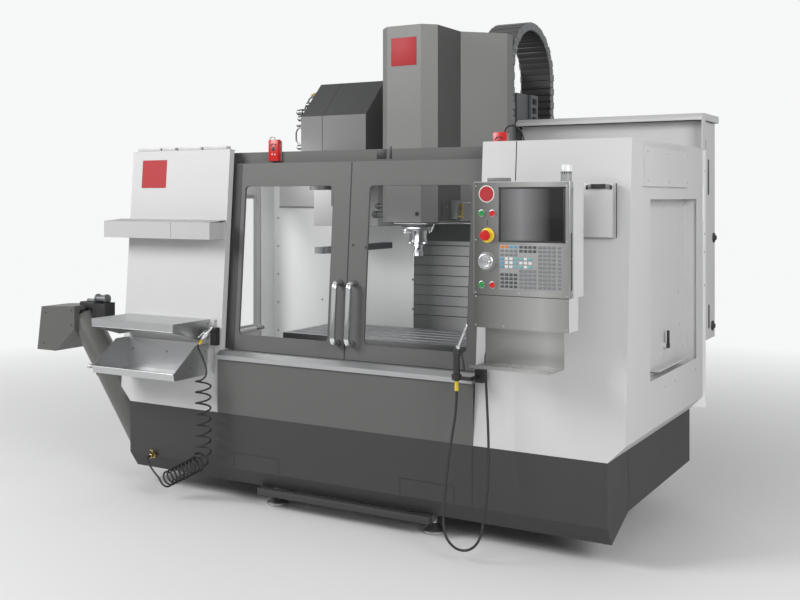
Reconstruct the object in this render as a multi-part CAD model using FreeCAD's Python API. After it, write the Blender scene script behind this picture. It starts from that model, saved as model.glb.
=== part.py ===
import FreeCAD, Part
import math
import os

os.makedirs("parts", exist_ok=True)
V = FreeCAD.Vector

# ---- driving dimensions, mm: X across from the gap between the doors, Y back from the base front, Z up ----
T = 3.0                                  # sheet of the enclosure
THIN = 2.0                               # sheet of the shelves and of the pendant face
GAP = 0.1                                # between parts that slide or stand face to face
PIN_GAP = 0.05                           # round a pin, a shaft or a button, on the radius
SEAT = 0.3                               # under the lower edge of a leaning panel
LEAN = 0.075                             # backward lean of the front panels, mm per mm of height
LEAN_DEG = math.degrees(math.atan(LEAN))

# base cover, bed and feet
BASE_W, BASE_D = 2300.0, 1119.0
BASE_TOP, BASE_LOW = 397.0, 163.0
LIP_Y, LIP_Z = 48.0, 92.0                # lower front edge of the cover
KEEL_Y, KEEL_Z = 240.0, BASE_LOW + 2     # where the sloping underside ends
FLOOR_X = 430.0                          # half width of the hole that the bed fills
BED_X, BED_Y0 = 400.0, 130.0
BED_LOW, FOOT_PLATE_Z = 150.0, 105.0
WAY_X0, WAY_X1, WAY_H = 270.0, 330.0, 30.0
FOOT_X, FOOT_Y0 = 390.0, 120.0
FOOT_R, STEM_R, NUT_R = 48.0, 12.0, 19.0

# enclosure
BODY_W, BODY_TOP, BODY_D = BASE_W + 125, 1560.0, BASE_D - 19
BODY_X, BASE_X = BODY_W / 2, BASE_W / 2
SKIRT_TOP = BASE_TOP + 63
ROOF_FLANGE = 45.0
REAR_Y = BODY_D + 80                     # inner face of the rear wall
REAR_X = BODY_X - 6.5
BED_Y1 = REAR_Y - 15
FOOT_Y1 = BED_Y1 - 85
SIDE_WIN = (310.0, BODY_D - 100, BODY_TOP - 915, BODY_TOP - 224)
HATCH_DEPTH = 55.0
COVER_Y0, COVER_Y1 = 210.0, BODY_D - 270
COVER_X1 = BODY_X + 11.5                 # outer face of the raised side cover

# doors, sill and header
DOOR_W, DOOR_T = 620.0, 28.0
DOOR_Z0, DOOR_Z1 = BASE_TOP + 272, BODY_TOP - 60
DOOR_Y0 = 35.0                           # door front plane at the base top
DOOR_LIFT = 5.4                          # under the door, over its track
OPEN_L, OPEN_R = -DOOR_W - 10, DOOR_W    # inner edges of the front panels
WIN_X0, WIN_X1 = 90.0, DOOR_W - 60
WIN_Z0, WIN_Z1 = DOOR_Z0 + 73, DOOR_Z1 - 102
WIN_R = 18.0
GLASS_T, GLASS_LAP, REBATE = 8.0, 14.0, 10.0
HANDLE_X, HANDLE_Z0, HANDLE_Z1 = 35.0, DOOR_Z0 + 71, DOOR_Z0 + 321
HANDLE_R, HANDLE_BEND, HANDLE_REACH, HANDLE_FOOT = 10.0, 28.0, 45.0, 15.0
SILL_Z0 = DOOR_Z0 - 36
HEADER_Y = round(DOOR_Y0 + DOOR_T + LEAN * (DOOR_Z1 - BASE_TOP)) + 4

# column, saddle, table, head
COL_X, COL_Y0, COL_Y1 = 300.0, REAR_Y + 10, REAR_Y + 380
COL_TOP, COL_HOOD = BODY_TOP + 140, BODY_TOP + 480
DRIVE_TOP = COL_TOP + 162                # drive box behind the head
RAIL_X, RAIL_W, RAIL_T = 200.0, 30.0, 12.0
THROAT = 506.0                           # spindle to column
SPINDLE_Y = COL_Y0 - THROAT
TABLE_X, TABLE_Y = 1219.0, 457.0
TABLE_TOP, TABLE_H = 700.0, 90.0
WAY_TOP = TABLE_TOP - 200                # top of the bed ways
T_SLOT_W, T_SLOT_PITCH, T_SLOT_N = 16.0, 80.0, 5
SADDLE_X, SADDLE_Y = 345.0, 220.0
NOSE_Z, NOSE_R = TABLE_TOP + 435, 47.5
QUILL_R, HOLDER_R, CUTTER_R = 39.0, 31.5, 28.5
HEAD_Z0, HEAD_Z1 = NOSE_Z + 95, NOSE_Z + 993
HEAD_X0, HEAD_X1, HEAD_X2 = 88.5, 145.0, 310.0
HEAD_Y = [SPINDLE_Y - 132.5, SPINDLE_Y - 76, SPINDLE_Y + 156, SPINDLE_Y + 321, SPINDLE_Y + 386]
CHAIN_X0, CHAIN_X1 = 120.0, COL_X
CHAIN_Y, CHAIN_Z = COL_Y0 + 170, HEAD_Z0 + 724
CHAIN_RO, CHAIN_RI = 280.0, 232.0
CHAIN_BACK = CHAIN_Y + CHAIN_RO
CHAIN_FOOT = COL_TOP + 38                # where the chain stands on the column bracket
CHAIN_STEP = 38.0
PLATE_N, PLATE_STEP, PLATE_X = 6, 114.0, 318.0
COVER_LOW = WAY_TOP + 66                 # lower edge of the telescoping way cover
CAB = (COL_X + 10, BODY_X - 22.5, REAR_Y + T + GAP, REAR_Y + 240, BODY_TOP - 870, BODY_TOP + 130)

# tool changer
ARM_X, ARM_Z, ARM_W = -345.0, NOSE_Z - 50, 22.0
ARM_T, ARM_HUB_R, ARM_SHAFT_R, ARM_BITE = 30.0, 55.0, 30.0, 38.0
ARM_LEN = -ARM_X
CHG_X0, CHG_X1 = ARM_X - 368, ARM_X + 17
CAR_Y, CAR_Z, CAR_R = COL_Y0 + 10, BODY_TOP, 300.0
POCKETS, POCKET_R, POCKET_PCR = 20, 38.0, 258.0
AXLE_R = 25.0

# chip auger
AUGER_A, AUGER_B = V(-BASE_X + 30, 130, 110), V(-BASE_X - 435, 130, 750)
AUGER_R, SCREW_R, FLIGHT_R, FLIGHT_STEP = 68.0, 16.0, 54.0, 55.0
CHUTE_X0 = AUGER_B.x - 235

# operator pendant
PEND_X0, PEND_X1 = OPEN_R + 81, OPEN_R + 449
PEND_Y0, PEND_Y1, LOW_Y1 = -160.0, -22.0, -70.0
PEND_Z0, PEND_SEAM, PEND_Z1 = 873.0, 991.0, 1400.0
FACE_Y = PEND_Y0 - THIN
PIVOT_X, PIVOT_Y, PIVOT_R, BARREL_R = PEND_X1 - 24, -5.0, 10.0, 17.0
SHELF_R, SHELF_T, SHELF_GAP = 15.0, 20.0, 1.0   # bracket under the pendant's barrel
SCREEN = (PEND_X0 + 106, PEND_X1 - 21, PEND_Z1 - 210, PEND_Z1 - 25)
SCREEN_GAP = 0.2                         # round the screen in its window
KEYPAD = (PEND_X0 + 104, PEND_X1 - 25, PEND_Z1 - 386, PEND_Z1 - 226)
KEY, KEY_DX, KEY_DZ, KEY_BANK = 14.0, 18.5, 19.0, 58.0
BANKS, BANK_COLUMNS, KEY_ROWS = 4, 3, 8
BUTTON_R, CAP_R, PRESS = 7.0, 10.5, 3.5
BTN = {"button_on": (PEND_X0 + 33, PEND_Z1 - 114), "button_off": (PEND_X0 + 76, PEND_Z1 - 114),
       "button_start": (PEND_X0 + 33, PEND_Z1 - 372), "button_hold": (PEND_X0 + 76, PEND_Z1 - 372)}
ESTOP, ESTOP_R, ESTOP_STEM = (PEND_X0 + 55, PEND_Z1 - 193), 19.0, 11.0
JOG, JOG_R, JOG_STEM = (PEND_X0 + 52, PEND_Z1 - 287), 29.0, 8.0
STEM_IN = 25.0                           # how far the stems reach behind the pendant face
TRAY_X0, TRAY_X1, TRAY_Y0, TRAY_Z = PEND_X0 + 23.5, PEND_X1 - 39, -250.0, 738.0
TRAY_BACK = -110.0
BEACON = (PEND_X1 - 39, -90.0)

# shelves on the left front
SHELF_X0, SHELF_X1 = -BASE_X - 30, OPEN_L - 70
SHELF_Y, SHELF_Z, SHELF_LIP, GUSSET_Z = -210.0, 800.0, 36.0, 712.0
BIN_Y, BIN_LOW, BIN_RIM, BIN_BACK, BIN_TOP = -206.0, 556.0, 585.0, -60.0, 692.0
RACK_X0, RACK_X1, RACK_Y, RACK_Z0, RACK_Z1 = -BODY_X - 59.5, OPEN_L - 7, -46.0, 1158.0, 1232.0
RACK_SLOTS, RACK_PITCH = 7, 84.0
CLIP = (PEND_X1 - 30, PEND_X1 + 96, 45.0, 1199.0, 1395.0)

# guns and hoses
WASH_R, AIR_R = 4.75, 4.0                # washdown hose and curly air hose
AIR_END, AIR_TIP = V(OPEN_L - 54, -60, 702), V(OPEN_L + 25, -60, 783)
AIR_HOOK_Z = AIR_END.z + 50
GUN_X, GUN_Y, GUN_Z = OPEN_R - 40, -60.0, 613.0
WASH_END = V(GUN_X + 134, 20, 800)
WASH_ROUTE = [(0, GUN_Y, GUN_Z), (0, GUN_Y, 545), (-13, -78, 430), (-20, -100, 320), (-21, -120, 215),
              (-18, -136, 130), (-2, -146, 80), (40, -152, 48), (91, -153, 48), (132, -150, 80),
              (147, -140, 135), (154, -124, 225), (155, -108, 335), (149, -94, 455), (139, -86, 580),
              (134, -88, 690), (134, -90, WASH_END.z)]
COIL_R = 32.0                            # radius of the curly hose's coil, to the tube's centre
COIL_SLOPE = math.radians(27)            # rise of its lying end
LIE_N, LIE_PITCH, LIE_START = 8.0, 24.0, V(OPEN_L - 228, -80, 87)
BEND_N, HANG_N, HANG_PITCH = 2.5, 6.5, 47.0
AIR_PORT = V(LIE_START.x - 140, 0, 165)  # where the curly hose leaves the base


# ---- helpers ----
def box(x0, x1, y0, y1, z0, z1):
    return Part.makeBox(x1 - x0, y1 - y0, z1 - z0, V(x0, y0, z0))


def box_at(o, x0, x1, y0, y1, z0, z1):
    return box(o.x + x0, o.x + x1, o.y + y0, o.y + y1, o.z + z0, o.z + z1)


def mirrored_box(side, x0, x1, y0, y1, z0, z1):
    return box(min(side * x0, side * x1), max(side * x0, side * x1), y0, y1, z0, z1)


def prism(points, direction):
    wire = Part.makePolygon(points + [points[0]])
    return Part.Face(wire).extrude(direction)


def prism_x(yz, x0, x1):
    return prism([V(x0, y, z) for y, z in yz], V(x1 - x0, 0, 0))


def prism_y(xz, y0, y1):
    return prism([V(x, y0, z) for x, z in xz], V(0, y1 - y0, 0))


def prism_z(xy, z0, z1):
    return prism([V(x, y, z0) for x, y in xy], V(0, 0, z1 - z0))


def rod(a, b, r):
    a, b = V(*a), V(*b)
    return Part.makeCylinder(r, (b - a).Length, a, b - a)


def rod_x(x0, x1, y, z, r):
    return rod((x0, y, z), (x1, y, z), r)


def rod_y(x, y0, y1, z, r):
    return rod((x, y0, z), (x, y1, z), r)


def rod_z(x, y, z0, z1, r):
    return rod((x, y, z0), (x, y, z1), r)


def ring(a, b, r_out, r_in):
    return rod(a, b, r_out).cut(rod(a, b, r_in))


def join(shapes):
    return shapes[0].multiFuse(shapes[1:]).removeSplitter()


def less(shape, cutters):
    return shape.cut(Part.Compound(cutters))


def round_corners(shape, r, axis):
    picked = [e for e in shape.Edges if abs(e.tangentAt(e.FirstParameter).dot(axis)) > 0.999]
    return shape.makeFillet(r, picked)


def lean(shape):
    turned = shape.copy()
    turned.rotate(V(0, 0, BASE_TOP), V(1, 0, 0), -LEAN_DEG)
    return turned


def lean_y(z):
    return LEAN * (z - BASE_TOP)


def arc_to(p, q, m):
    half = (q - p).getAngle(m - q) / 2
    w = math.cos(half)
    if half < 1e-4:
        return Part.LineSegment(p, m).toShape()
    mid = (p + q * (2 * w) + m) / (2 + 2 * w)
    return Part.Arc(p, mid, m).toShape()


def biarc(p, tp, m, tm):
    v = m - p
    a = 2 * (1 - tp.dot(tm))
    b = 2 * v.dot(tp + tm)
    c = -v.dot(v)
    if abs(a) < 1e-9:
        d = -c / b
    else:
        d = (-b + math.sqrt(b * b - 4 * a * c)) / (2 * a)
    q0, q1 = p + tp * d, m - tm * d
    mid = (q0 + q1) / 2
    return [arc_to(p, q0, mid), arc_to(mid, q1, m)]


def sweep(edges, r):
    wire = Part.Wire(edges)
    start = edges[0].valueAt(edges[0].FirstParameter)
    tangent = edges[0].tangentAt(edges[0].FirstParameter)
    circle = Part.Wire([Part.Circle(start, tangent, r).toShape()])
    return wire.makePipeShell([circle], True, False)


def volume_ratio(solid, r, length):
    return round(solid.Volume / (math.pi * r * r * length), 4)


def free_cord(points, r, name):
    edges, last, radii = [], points[0], []
    for before, corner, after in zip(points, points[1:], points[2:]):
        u, w = (corner - before), (after - corner)
        half = u.getAngle(w) / 2
        reach = 0.45 * min(u.Length, w.Length)
        radii.append(round(reach / math.tan(half)))
        a = corner - u.normalize() * reach
        b = corner + w.normalize() * reach
        edges += [Part.LineSegment(last, a).toShape(), arc_to(a, corner, b)]
        last = b
    edges.append(Part.LineSegment(last, points[-1]).toShape())
    solid = sweep(edges, r)
    length = sum(e.Length for e in edges)
    print(name, "length", round(length), "radii", radii, "volume ratio", volume_ratio(solid, r, length))
    return solid


nodes = {}

# ---- base: sheet-metal cover, bed casting, feet ----
auger_dir = (AUGER_B - AUGER_A).normalize()
outer = prism_x([(0, BASE_LOW), (0, BASE_TOP), (BASE_D, BASE_TOP), (BASE_D, KEEL_Z), (KEEL_Y, KEEL_Z),
                 (LIP_Y, LIP_Z)], -BASE_X, BASE_X)
inner = prism_x([(T, BASE_LOW + 1), (T, BASE_TOP - T), (BASE_D - T, BASE_TOP - T), (BASE_D - T, 0),
                 (LIP_Y + T, 0), (LIP_Y + T, LIP_Z)], T - BASE_X, BASE_X - T)
floor_hole = box(-FLOOR_X, FLOOR_X, BED_Y0 - 20, BASE_D + 1, BASE_TOP - 10, BASE_TOP + 10)
back_hole = box(-FLOOR_X, FLOOR_X, BASE_D - 30, BASE_D + 1, 60, BASE_TOP + 1)
auger_hole = rod(AUGER_A - auger_dir * 400, AUGER_B, AUGER_R)
nodes["base_cover"] = less(outer, [inner, floor_hole, back_hole, auger_hole])

bed = [box(-BED_X, BED_X, BED_Y0, BED_Y1, BED_LOW, WAY_TOP - WAY_H),
       box(-FLOOR_X, FLOOR_X, BED_Y0, FOOT_Y1, BASE_TOP - 17, BASE_TOP),
       box(-BED_X - 20, BED_X + 20, KEEL_Y - 180, KEEL_Y, FOOT_PLATE_Z, BED_LOW),
       box(-BED_X - 20, BED_X + 20, FOOT_Y1 - 120, BED_Y1, FOOT_PLATE_Z, BED_LOW),
       box(-BED_X - 20, BED_X + 20, 12, 45, 62, 90)]
for side in (-1, 1):
    bed.append(mirrored_box(side, WAY_X0, WAY_X1, BED_Y0, BED_Y1, WAY_TOP - WAY_H, WAY_TOP))
    bed.append(mirrored_box(side, BED_X - 20, BED_X + 20, 45, 75, 62, 90))
    bed.append(mirrored_box(side, BED_X - 20, BED_X + 20, 55, 75, 62, BED_LOW))
nodes["bed_casting"] = join(bed)

feet = []
for x in (-FOOT_X, FOOT_X):
    for y in (FOOT_Y0, FOOT_Y1):
        feet.append(join([rod_z(x, y, 0, 14, FOOT_R), Part.makeCone(44, 16, 24, V(x, y, 14)),
                          rod_z(x, y, 38, FOOT_PLATE_Z, STEM_R), rod_z(x, y, 72, 90, NUT_R)]))
nodes["leveling_feet"] = Part.Compound(feet)

# ---- front: apron, sill, header, leaning panels ----
apron = box(OPEN_L, OPEN_R, 0, T, BASE_TOP, SILL_Z0)
apron = apron.fuse(box(OPEN_L, OPEN_R, T, 60, SILL_Z0 - T, SILL_Z0))
HEADER = (HEADER_Y, HEADER_Y + 45, DOOR_Z1 - 10, BODY_TOP - 15)
header = box(T - BODY_X, BODY_X - T, *HEADER)
header = header.cut(box(-BODY_X, BODY_X, HEADER[0] + T, HEADER[1] + T, HEADER[2] + T, HEADER[3] - T))
nodes["door_frame"] = Part.Compound([apron.removeSplitter(), header])
sill_z = DOOR_Z0 - GAP
nodes["sill"] = prism_x([(-9, SILL_Z0), (-9, DOOR_Z0 - 17), (22, sill_z), (105, sill_z), (105, SILL_Z0)],
                        OPEN_L, OPEN_R)


def front_panel(x_in, side):
    x_out, x_base = side * BODY_X, side * BASE_X
    sheet = prism_y([(x_in, BASE_TOP + SEAT), (x_base, BASE_TOP + SEAT), (x_out, SKIRT_TOP),
                     (x_out, BODY_TOP + T), (x_in, BODY_TOP + T)], 0, T)
    x_lip, x_top = x_in + side * T, x_out - side * (ROOF_FLANGE + 1)
    edge = box(min(x_in, x_lip), max(x_in, x_lip), 0, DOOR_Y0 - 4, BASE_TOP + T, BODY_TOP + T)
    top = box(min(x_in, x_top), max(x_in, x_top), 0, 40, BODY_TOP, BODY_TOP + T)
    return lean(join([sheet, edge, top]))


HINGE_Z0 = PEND_Z1 - 88                    # lower end of the pendant's barrel
nodes["front_panel_left"] = front_panel(OPEN_L, -1)
shelf_z = HINGE_Z0 - SHELF_GAP
shelf = box(PIVOT_X - SHELF_R, CLIP[0] - 1, PIVOT_Y, lean_y(shelf_z) + 1, shelf_z - SHELF_T, shelf_z)
hinge_bracket = join([shelf, rod_z(PIVOT_X, PIVOT_Y, shelf_z - SHELF_T, shelf_z, SHELF_R),
                      rod_z(PIVOT_X, PIVOT_Y, shelf_z - 1, PEND_Z1 - 1, PIVOT_R)])
nodes["front_panel_right"] = front_panel(OPEN_R, 1).fuse(hinge_bracket)


# ---- side walls, rear wall, side window and hatch ----
def side_wall(side):
    path = [(BASE_X - T, BASE_TOP), (BASE_X, BASE_TOP), (BODY_X, SKIRT_TOP), (BODY_X, BODY_TOP),
            (BODY_X - ROOF_FLANGE, BODY_TOP), (BODY_X - ROOF_FLANGE, BODY_TOP - T), (BODY_X - T, BODY_TOP - T),
            (BODY_X - T, SKIRT_TOP + 1), (BASE_X - T, BASE_TOP + 1)]
    sheet = prism_y([(side * x, z) for x, z in path], 0, BODY_D)
    front = T + GAP
    keep = prism_x([(front, BASE_TOP - 1), (lean_y(BODY_TOP) + front, BODY_TOP + 1), (BODY_D, BODY_TOP + 1),
                    (BODY_D, BASE_TOP - 1)], -BODY_W, BODY_W)
    return sheet.common(keep).cut(mirrored_box(side, BASE_X, BODY_X + 40, *SIDE_WIN))


nodes["side_wall_left"] = side_wall(-1)
cover = box(BODY_X - T, COVER_X1, COVER_Y0, COVER_Y1, BODY_TOP - 175, BODY_TOP - 25)
cover = cover.cut(box(BODY_X - 13, COVER_X1 - 2, COVER_Y0 + T, COVER_Y1 - T, BODY_TOP - 172, BODY_TOP - 28))
nodes["side_wall_right"] = side_wall(1).fuse(cover)

wy0, wy1, wz0, wz1 = SIDE_WIN
nodes["side_window"] = box(T - BODY_X, T - BODY_X + GLASS_T, wy0 - 20, wy1 + 20, wz0 - 20, wz1 + 20)
hatch_x = BODY_X - HATCH_DEPTH
knob_y, knob_z = (wy0 + wy1) / 2 + 27, wz0 + 90
hatch = less(box(hatch_x - T, BODY_X - T, wy0 - 12, wy1 + 12, wz0 - 12, wz1 + 12),
             [box(hatch_x, BODY_X + 1, wy0 - 10, wy1 + 10, wz0 - 10, wz1 + 10)])
hatch = [hatch, box(hatch_x, hatch_x + 40, wy0 + 170, wy1 - 130, wz0 + 10, wz0 + 16),
         rod_x(hatch_x - 2, hatch_x + 14, knob_y, knob_z, 13)]
for i in range(4):
    hatch.append(rod_x(hatch_x - 2, hatch_x + 5, wy1 - 95, wz0 + 155 + 140 * i, 8))
nodes["side_hatch"] = join(hatch)
nodes["side_latch"] = join([rod_x(hatch_x + 14 + GAP, hatch_x + 24, knob_y, knob_z, 11),
                            box(hatch_x + 15, hatch_x + 23, knob_y - 7, knob_y + 7, knob_z, knob_z + 62)])

rear = [box(-REAR_X, REAR_X, REAR_Y, REAR_Y + T, BASE_TOP, BODY_TOP),
        box(4 - BASE_X, BASE_X - 4, BASE_D - 70, REAR_Y, BASE_TOP, BASE_TOP + T)]
rear_holes = [box(-FLOOR_X, FLOOR_X, BASE_D - 80, REAR_Y, BASE_TOP - 1, BASE_TOP + 5),
              box(-COL_X - 4, COL_X + 4, REAR_Y - 90, REAR_Y + 10, BASE_TOP - 1, BODY_TOP + 1),
              box(CHG_X0 - 4, CHG_X1 + 8, REAR_Y - 10, REAR_Y + 10, CAR_Z - CAR_R - 64, BODY_TOP + 1)]
for side in (-1, 1):
    rear.append(mirrored_box(side, REAR_X - T, REAR_X, BODY_D - 40, REAR_Y, SKIRT_TOP + 2, BODY_TOP - 5))
for z0, z1 in ((BODY_TOP - 800, BODY_TOP - 710), (BODY_TOP - 320, BODY_TOP - 160)):
    rear_holes.append(box(REAR_X - 16, REAR_X + 4, REAR_Y - 60, REAR_Y - 40, z0, z1))
nodes["rear_wall"] = less(join(rear), rear_holes)

# ---- column, control cabinet ----
column = [box(-COL_X, COL_X, COL_Y0, COL_Y1, FOOT_PLATE_Z, COL_TOP),
          box(-COL_X, 90, COL_Y0 + 60, COL_Y1 - 60, COL_TOP, COL_HOOD),
          box(-BED_X, BED_X, BED_Y1, COL_Y1, FOOT_PLATE_Z, 300),
          box(CHG_X1, -COL_X, COL_Y0 + 60, COL_Y1 - 60, CAR_Z - 110, CAR_Z + 90),
          box(CHAIN_X0, CHAIN_X1, COL_Y1, CHAIN_BACK, CHAIN_FOOT - 78, CHAIN_FOOT),
          box(CHAIN_X0, COL_X - 20, COL_Y0, CHAIN_Y - 30, COL_TOP - 1, DRIVE_TOP),
          less(box(COL_X - 16, COL_X - 4, CHAIN_Y - 30, CHAIN_Y + 60, COL_TOP - 1, DRIVE_TOP),
               [box(COL_X - 20, COL_X, CHAIN_Y - 12, CHAIN_Y + 42, z, z + 30)
                for z in (COL_TOP + 22, COL_TOP + 68, COL_TOP + 114)])]
for side in (-1, 1):
    column.append(mirrored_box(side, RAIL_X - RAIL_W / 2, RAIL_X + RAIL_W / 2, COL_Y0 - RAIL_T, COL_Y0, 860,
                               COL_TOP - 10))
nodes["column"] = less(join(column), [box(-240, 240, COL_Y0 + 60, COL_Y1 - 60, 340, COL_TOP - 100)])

cab = box(*CAB).cut(box(CAB[0] + T, CAB[1] - T, CAB[2] + T, CAB[3] - T, CAB[4] + T, CAB[5] - T))
roof_z = CAB[5] + 0.5
roof = prism_x([(REAR_Y - 60, roof_z), (REAR_Y - 60, roof_z + 14.5), (REAR_Y - 30, roof_z + 31.5),
                (CAB[3] + 10, roof_z + 31.5), (CAB[3] + 10, roof_z)], CAB[0] - 6, REAR_X)
roof_in = prism_x([(REAR_Y - 57, roof_z - 1.5), (REAR_Y - 57, roof_z + 12.5), (REAR_Y - 29, roof_z + 28.5),
                   (CAB[3] + 7, roof_z + 28.5), (CAB[3] + 7, roof_z - 1.5)], CAB[0] - 3, REAR_X - T)
roof_leg = box(REAR_X - T, REAR_X, REAR_Y - 60, REAR_Y, BODY_TOP - 4, CAB[5] + 2)
nodes["control_cabinet"] = Part.Compound([cab, roof.cut(roof_in).fuse(roof_leg)])

# ---- saddle, table ----
sy0, sy1 = SPINDLE_Y - SADDLE_Y, SPINDLE_Y + SADDLE_Y
saddle = [less(box(-SADDLE_X, SADDLE_X, sy0, sy1, WAY_TOP + GAP, TABLE_TOP - TABLE_H - GAP),
               [box(-230, 230, sy0 - 1, sy1 + 1, WAY_TOP, WAY_TOP + 45)])]
for side in (-1, 1):
    saddle.append(mirrored_box(side, WAY_X1 + 2, SADDLE_X + 30, sy0, sy1, WAY_TOP - 26, WAY_TOP + 60))
nodes["saddle"] = join(saddle)

ty0 = SPINDLE_Y - TABLE_Y / 2
table = box(-TABLE_X / 2, TABLE_X / 2, ty0, ty0 + TABLE_Y, TABLE_TOP - TABLE_H, TABLE_TOP)
slots = []
for i in range(T_SLOT_N):
    y = SPINDLE_Y + (i - T_SLOT_N // 2) * T_SLOT_PITCH
    slots.append(box(-TABLE_X, TABLE_X, y - T_SLOT_W / 2, y + T_SLOT_W / 2, TABLE_TOP - 20, TABLE_TOP + 1))
    slots.append(box(-TABLE_X, TABLE_X, y - 13, y + 13, TABLE_TOP - 31, TABLE_TOP - 19))
slots.append(box(-TABLE_X, TABLE_X, ty0 + 60, ty0 + TABLE_Y - 60, TABLE_TOP - TABLE_H - 1,
                 TABLE_TOP - TABLE_H + 18))
nodes["table"] = less(table, slots)

# ---- head: casting, sheet cover, spindle, coolant ring ----
arm_y0, arm_y1 = CHAIN_Y - CHAIN_RO - 8, CHAIN_Y - CHAIN_RI
head = join([box(-235, 235, COL_Y0 - 70, COL_Y0 - RAIL_T - GAP, HEAD_Z0 + 25, HEAD_Z0 + 245),
             box(-110, 110, SPINDLE_Y - 84, COL_Y0 - 70, HEAD_Z0 + 32, HEAD_Z0 + 410),
             rod_z(0, SPINDLE_Y, HEAD_Z0 - 20, HEAD_Z0 + 70, 78),
             rod_z(0, SPINDLE_Y, HEAD_Z0 + 410, HEAD_Z0 + 670, 80),
             box(CHAIN_X0, CHAIN_X1, arm_y0, arm_y1, HEAD_Z0 + 270, HEAD_Z0 + 470),
             box(60, CHAIN_X1, arm_y0, arm_y1, HEAD_Z0 + 70, HEAD_Z0 + 270),
             box(T - HEAD_X2, HEAD_X2 - T, HEAD_Y[4] - 25, HEAD_Y[4] - 10, HEAD_Z0 + 330, HEAD_Z0 + 370)])
nodes["head_casting"] = head.cut(rod_z(0, SPINDLE_Y, HEAD_Z0 - 30, HEAD_Z0 + 50, QUILL_R + 1))

plan = list(zip((HEAD_X0, HEAD_X1, HEAD_X1, HEAD_X2, HEAD_X2), HEAD_Y))
skin = prism_z([(-x, y) for x, y in reversed(plan)] + plan, HEAD_Z0, HEAD_Z1)
C = 0.4 * T                              # how far a 45 degree corner moves inside the sheet
inside = [(HEAD_X0 - C, HEAD_Y[0] + T), (HEAD_X1 - T, HEAD_Y[1] + C), (HEAD_X1 - T, HEAD_Y[2] + C),
          (HEAD_X2 - T, HEAD_Y[3] + C), (HEAD_X2 - T, HEAD_Y[4] + 10)]
hollow = prism_z([(-x, y) for x, y in reversed(inside)] + inside, HEAD_Z0 + T, HEAD_Z1 - T)
nodes["head_cover"] = less(skin, [hollow, rod_z(0, SPINDLE_Y, HEAD_Z0 - 30, HEAD_Z0 + 70, 86),
                                  box(-250, 250, HEAD_Y[4] - 4, HEAD_Y[4] + 30, HEAD_Z0 - 1, HEAD_Z0 + 270)])

CUTTER_Z = NOSE_Z - 65
spindle = join([rod_z(0, SPINDLE_Y, NOSE_Z, NOSE_Z + 74, NOSE_R),
                rod_z(0, SPINDLE_Y, NOSE_Z + 70, NOSE_Z + 141, QUILL_R),
                rod_z(0, SPINDLE_Y, NOSE_Z - 15, NOSE_Z, HOLDER_R),
                Part.makeCone(20, 24, 20, V(0, SPINDLE_Y, NOSE_Z - 35)),
                rod_z(0, SPINDLE_Y, CUTTER_Z, NOSE_Z - 35, CUTTER_R)])
flutes = []
for i in range(4):
    flute = box(18, 40, -5, 5, CUTTER_Z - 1, CUTTER_Z + 26)
    flute.rotate(V(0, 0, 0), V(0, 0, 1), 90 * i)
    flute.translate(V(0, SPINDLE_Y, 0))
    flutes.append(flute)
nodes["spindle"] = less(spindle, flutes)

RING_Z = HEAD_Z0 - 20.5
nozzles = [ring((0, SPINDLE_Y, RING_Z - 19.5), (0, SPINDLE_Y, RING_Z), 76, NOSE_R + 1.5)]
for i in range(6):
    a = math.radians(30 + 60 * i)
    out = V(math.cos(a), math.sin(a), 0)
    top = V(0, SPINDLE_Y, RING_Z - 15.5) + out * 66
    nozzles.append(rod(top, top - out * 6 - V(0, 0, 34), 5.5))
nodes["coolant_ring"] = join(nozzles)

# ---- telescoping way cover under the head ----
plates = []
for i in range(PLATE_N):
    z = COVER_LOW + i * PLATE_STEP
    y = COL_Y0 - 22 + 1.2 * i
    plates.append(box(-PLATE_X, PLATE_X, y, y + 2, z, z + PLATE_STEP + 2))
    plates.append(box(-PLATE_X, PLATE_X, y, y + 3.4, z + PLATE_STEP - 2, z + PLATE_STEP + 2))
nodes["way_cover"] = join(plates)

# ---- cable chain ----
band = ring((CHAIN_X0, CHAIN_Y, CHAIN_Z), (CHAIN_X1, CHAIN_Y, CHAIN_Z), CHAIN_RO, CHAIN_RI)
upper_half = box_at(V(0, CHAIN_Y, CHAIN_Z), 0, CHAIN_X1 + 1, -CHAIN_RO - 1, CHAIN_RO + 1, 0, CHAIN_RO + 1)
band = band.common(upper_half)
legs = [box(CHAIN_X0, CHAIN_X1, CHAIN_Y - CHAIN_RO, CHAIN_Y - CHAIN_RI, HEAD_Z0 + 470.5, CHAIN_Z),
        box(CHAIN_X0, CHAIN_X1, CHAIN_Y + CHAIN_RI, CHAIN_BACK, CHAIN_FOOT + 0.5, CHAIN_Z)]
notches = []
for i in range(1, 22):
    notch = box(CHAIN_X0 - 1, CHAIN_X1 + 1, CHAIN_RO - 9, CHAIN_RO + 5, -3, 3)
    notch.rotate(V(0, 0, 0), V(1, 0, 0), 180 * i / 22)
    notch.translate(V(0, CHAIN_Y, CHAIN_Z))
    notches.append(notch)
for sign, count in ((-1, 6), (1, 5)):
    for k in range(count):
        z = CHAIN_Z - CHAIN_STEP * k
        y = CHAIN_Y + sign * (CHAIN_RO - 2)
        notches.append(box(CHAIN_X0 - 1, CHAIN_X1 + 1, y - 7, y + 7, z - 3, z + 3))
nodes["cable_chain"] = less(join([band] + legs), notches)

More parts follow.
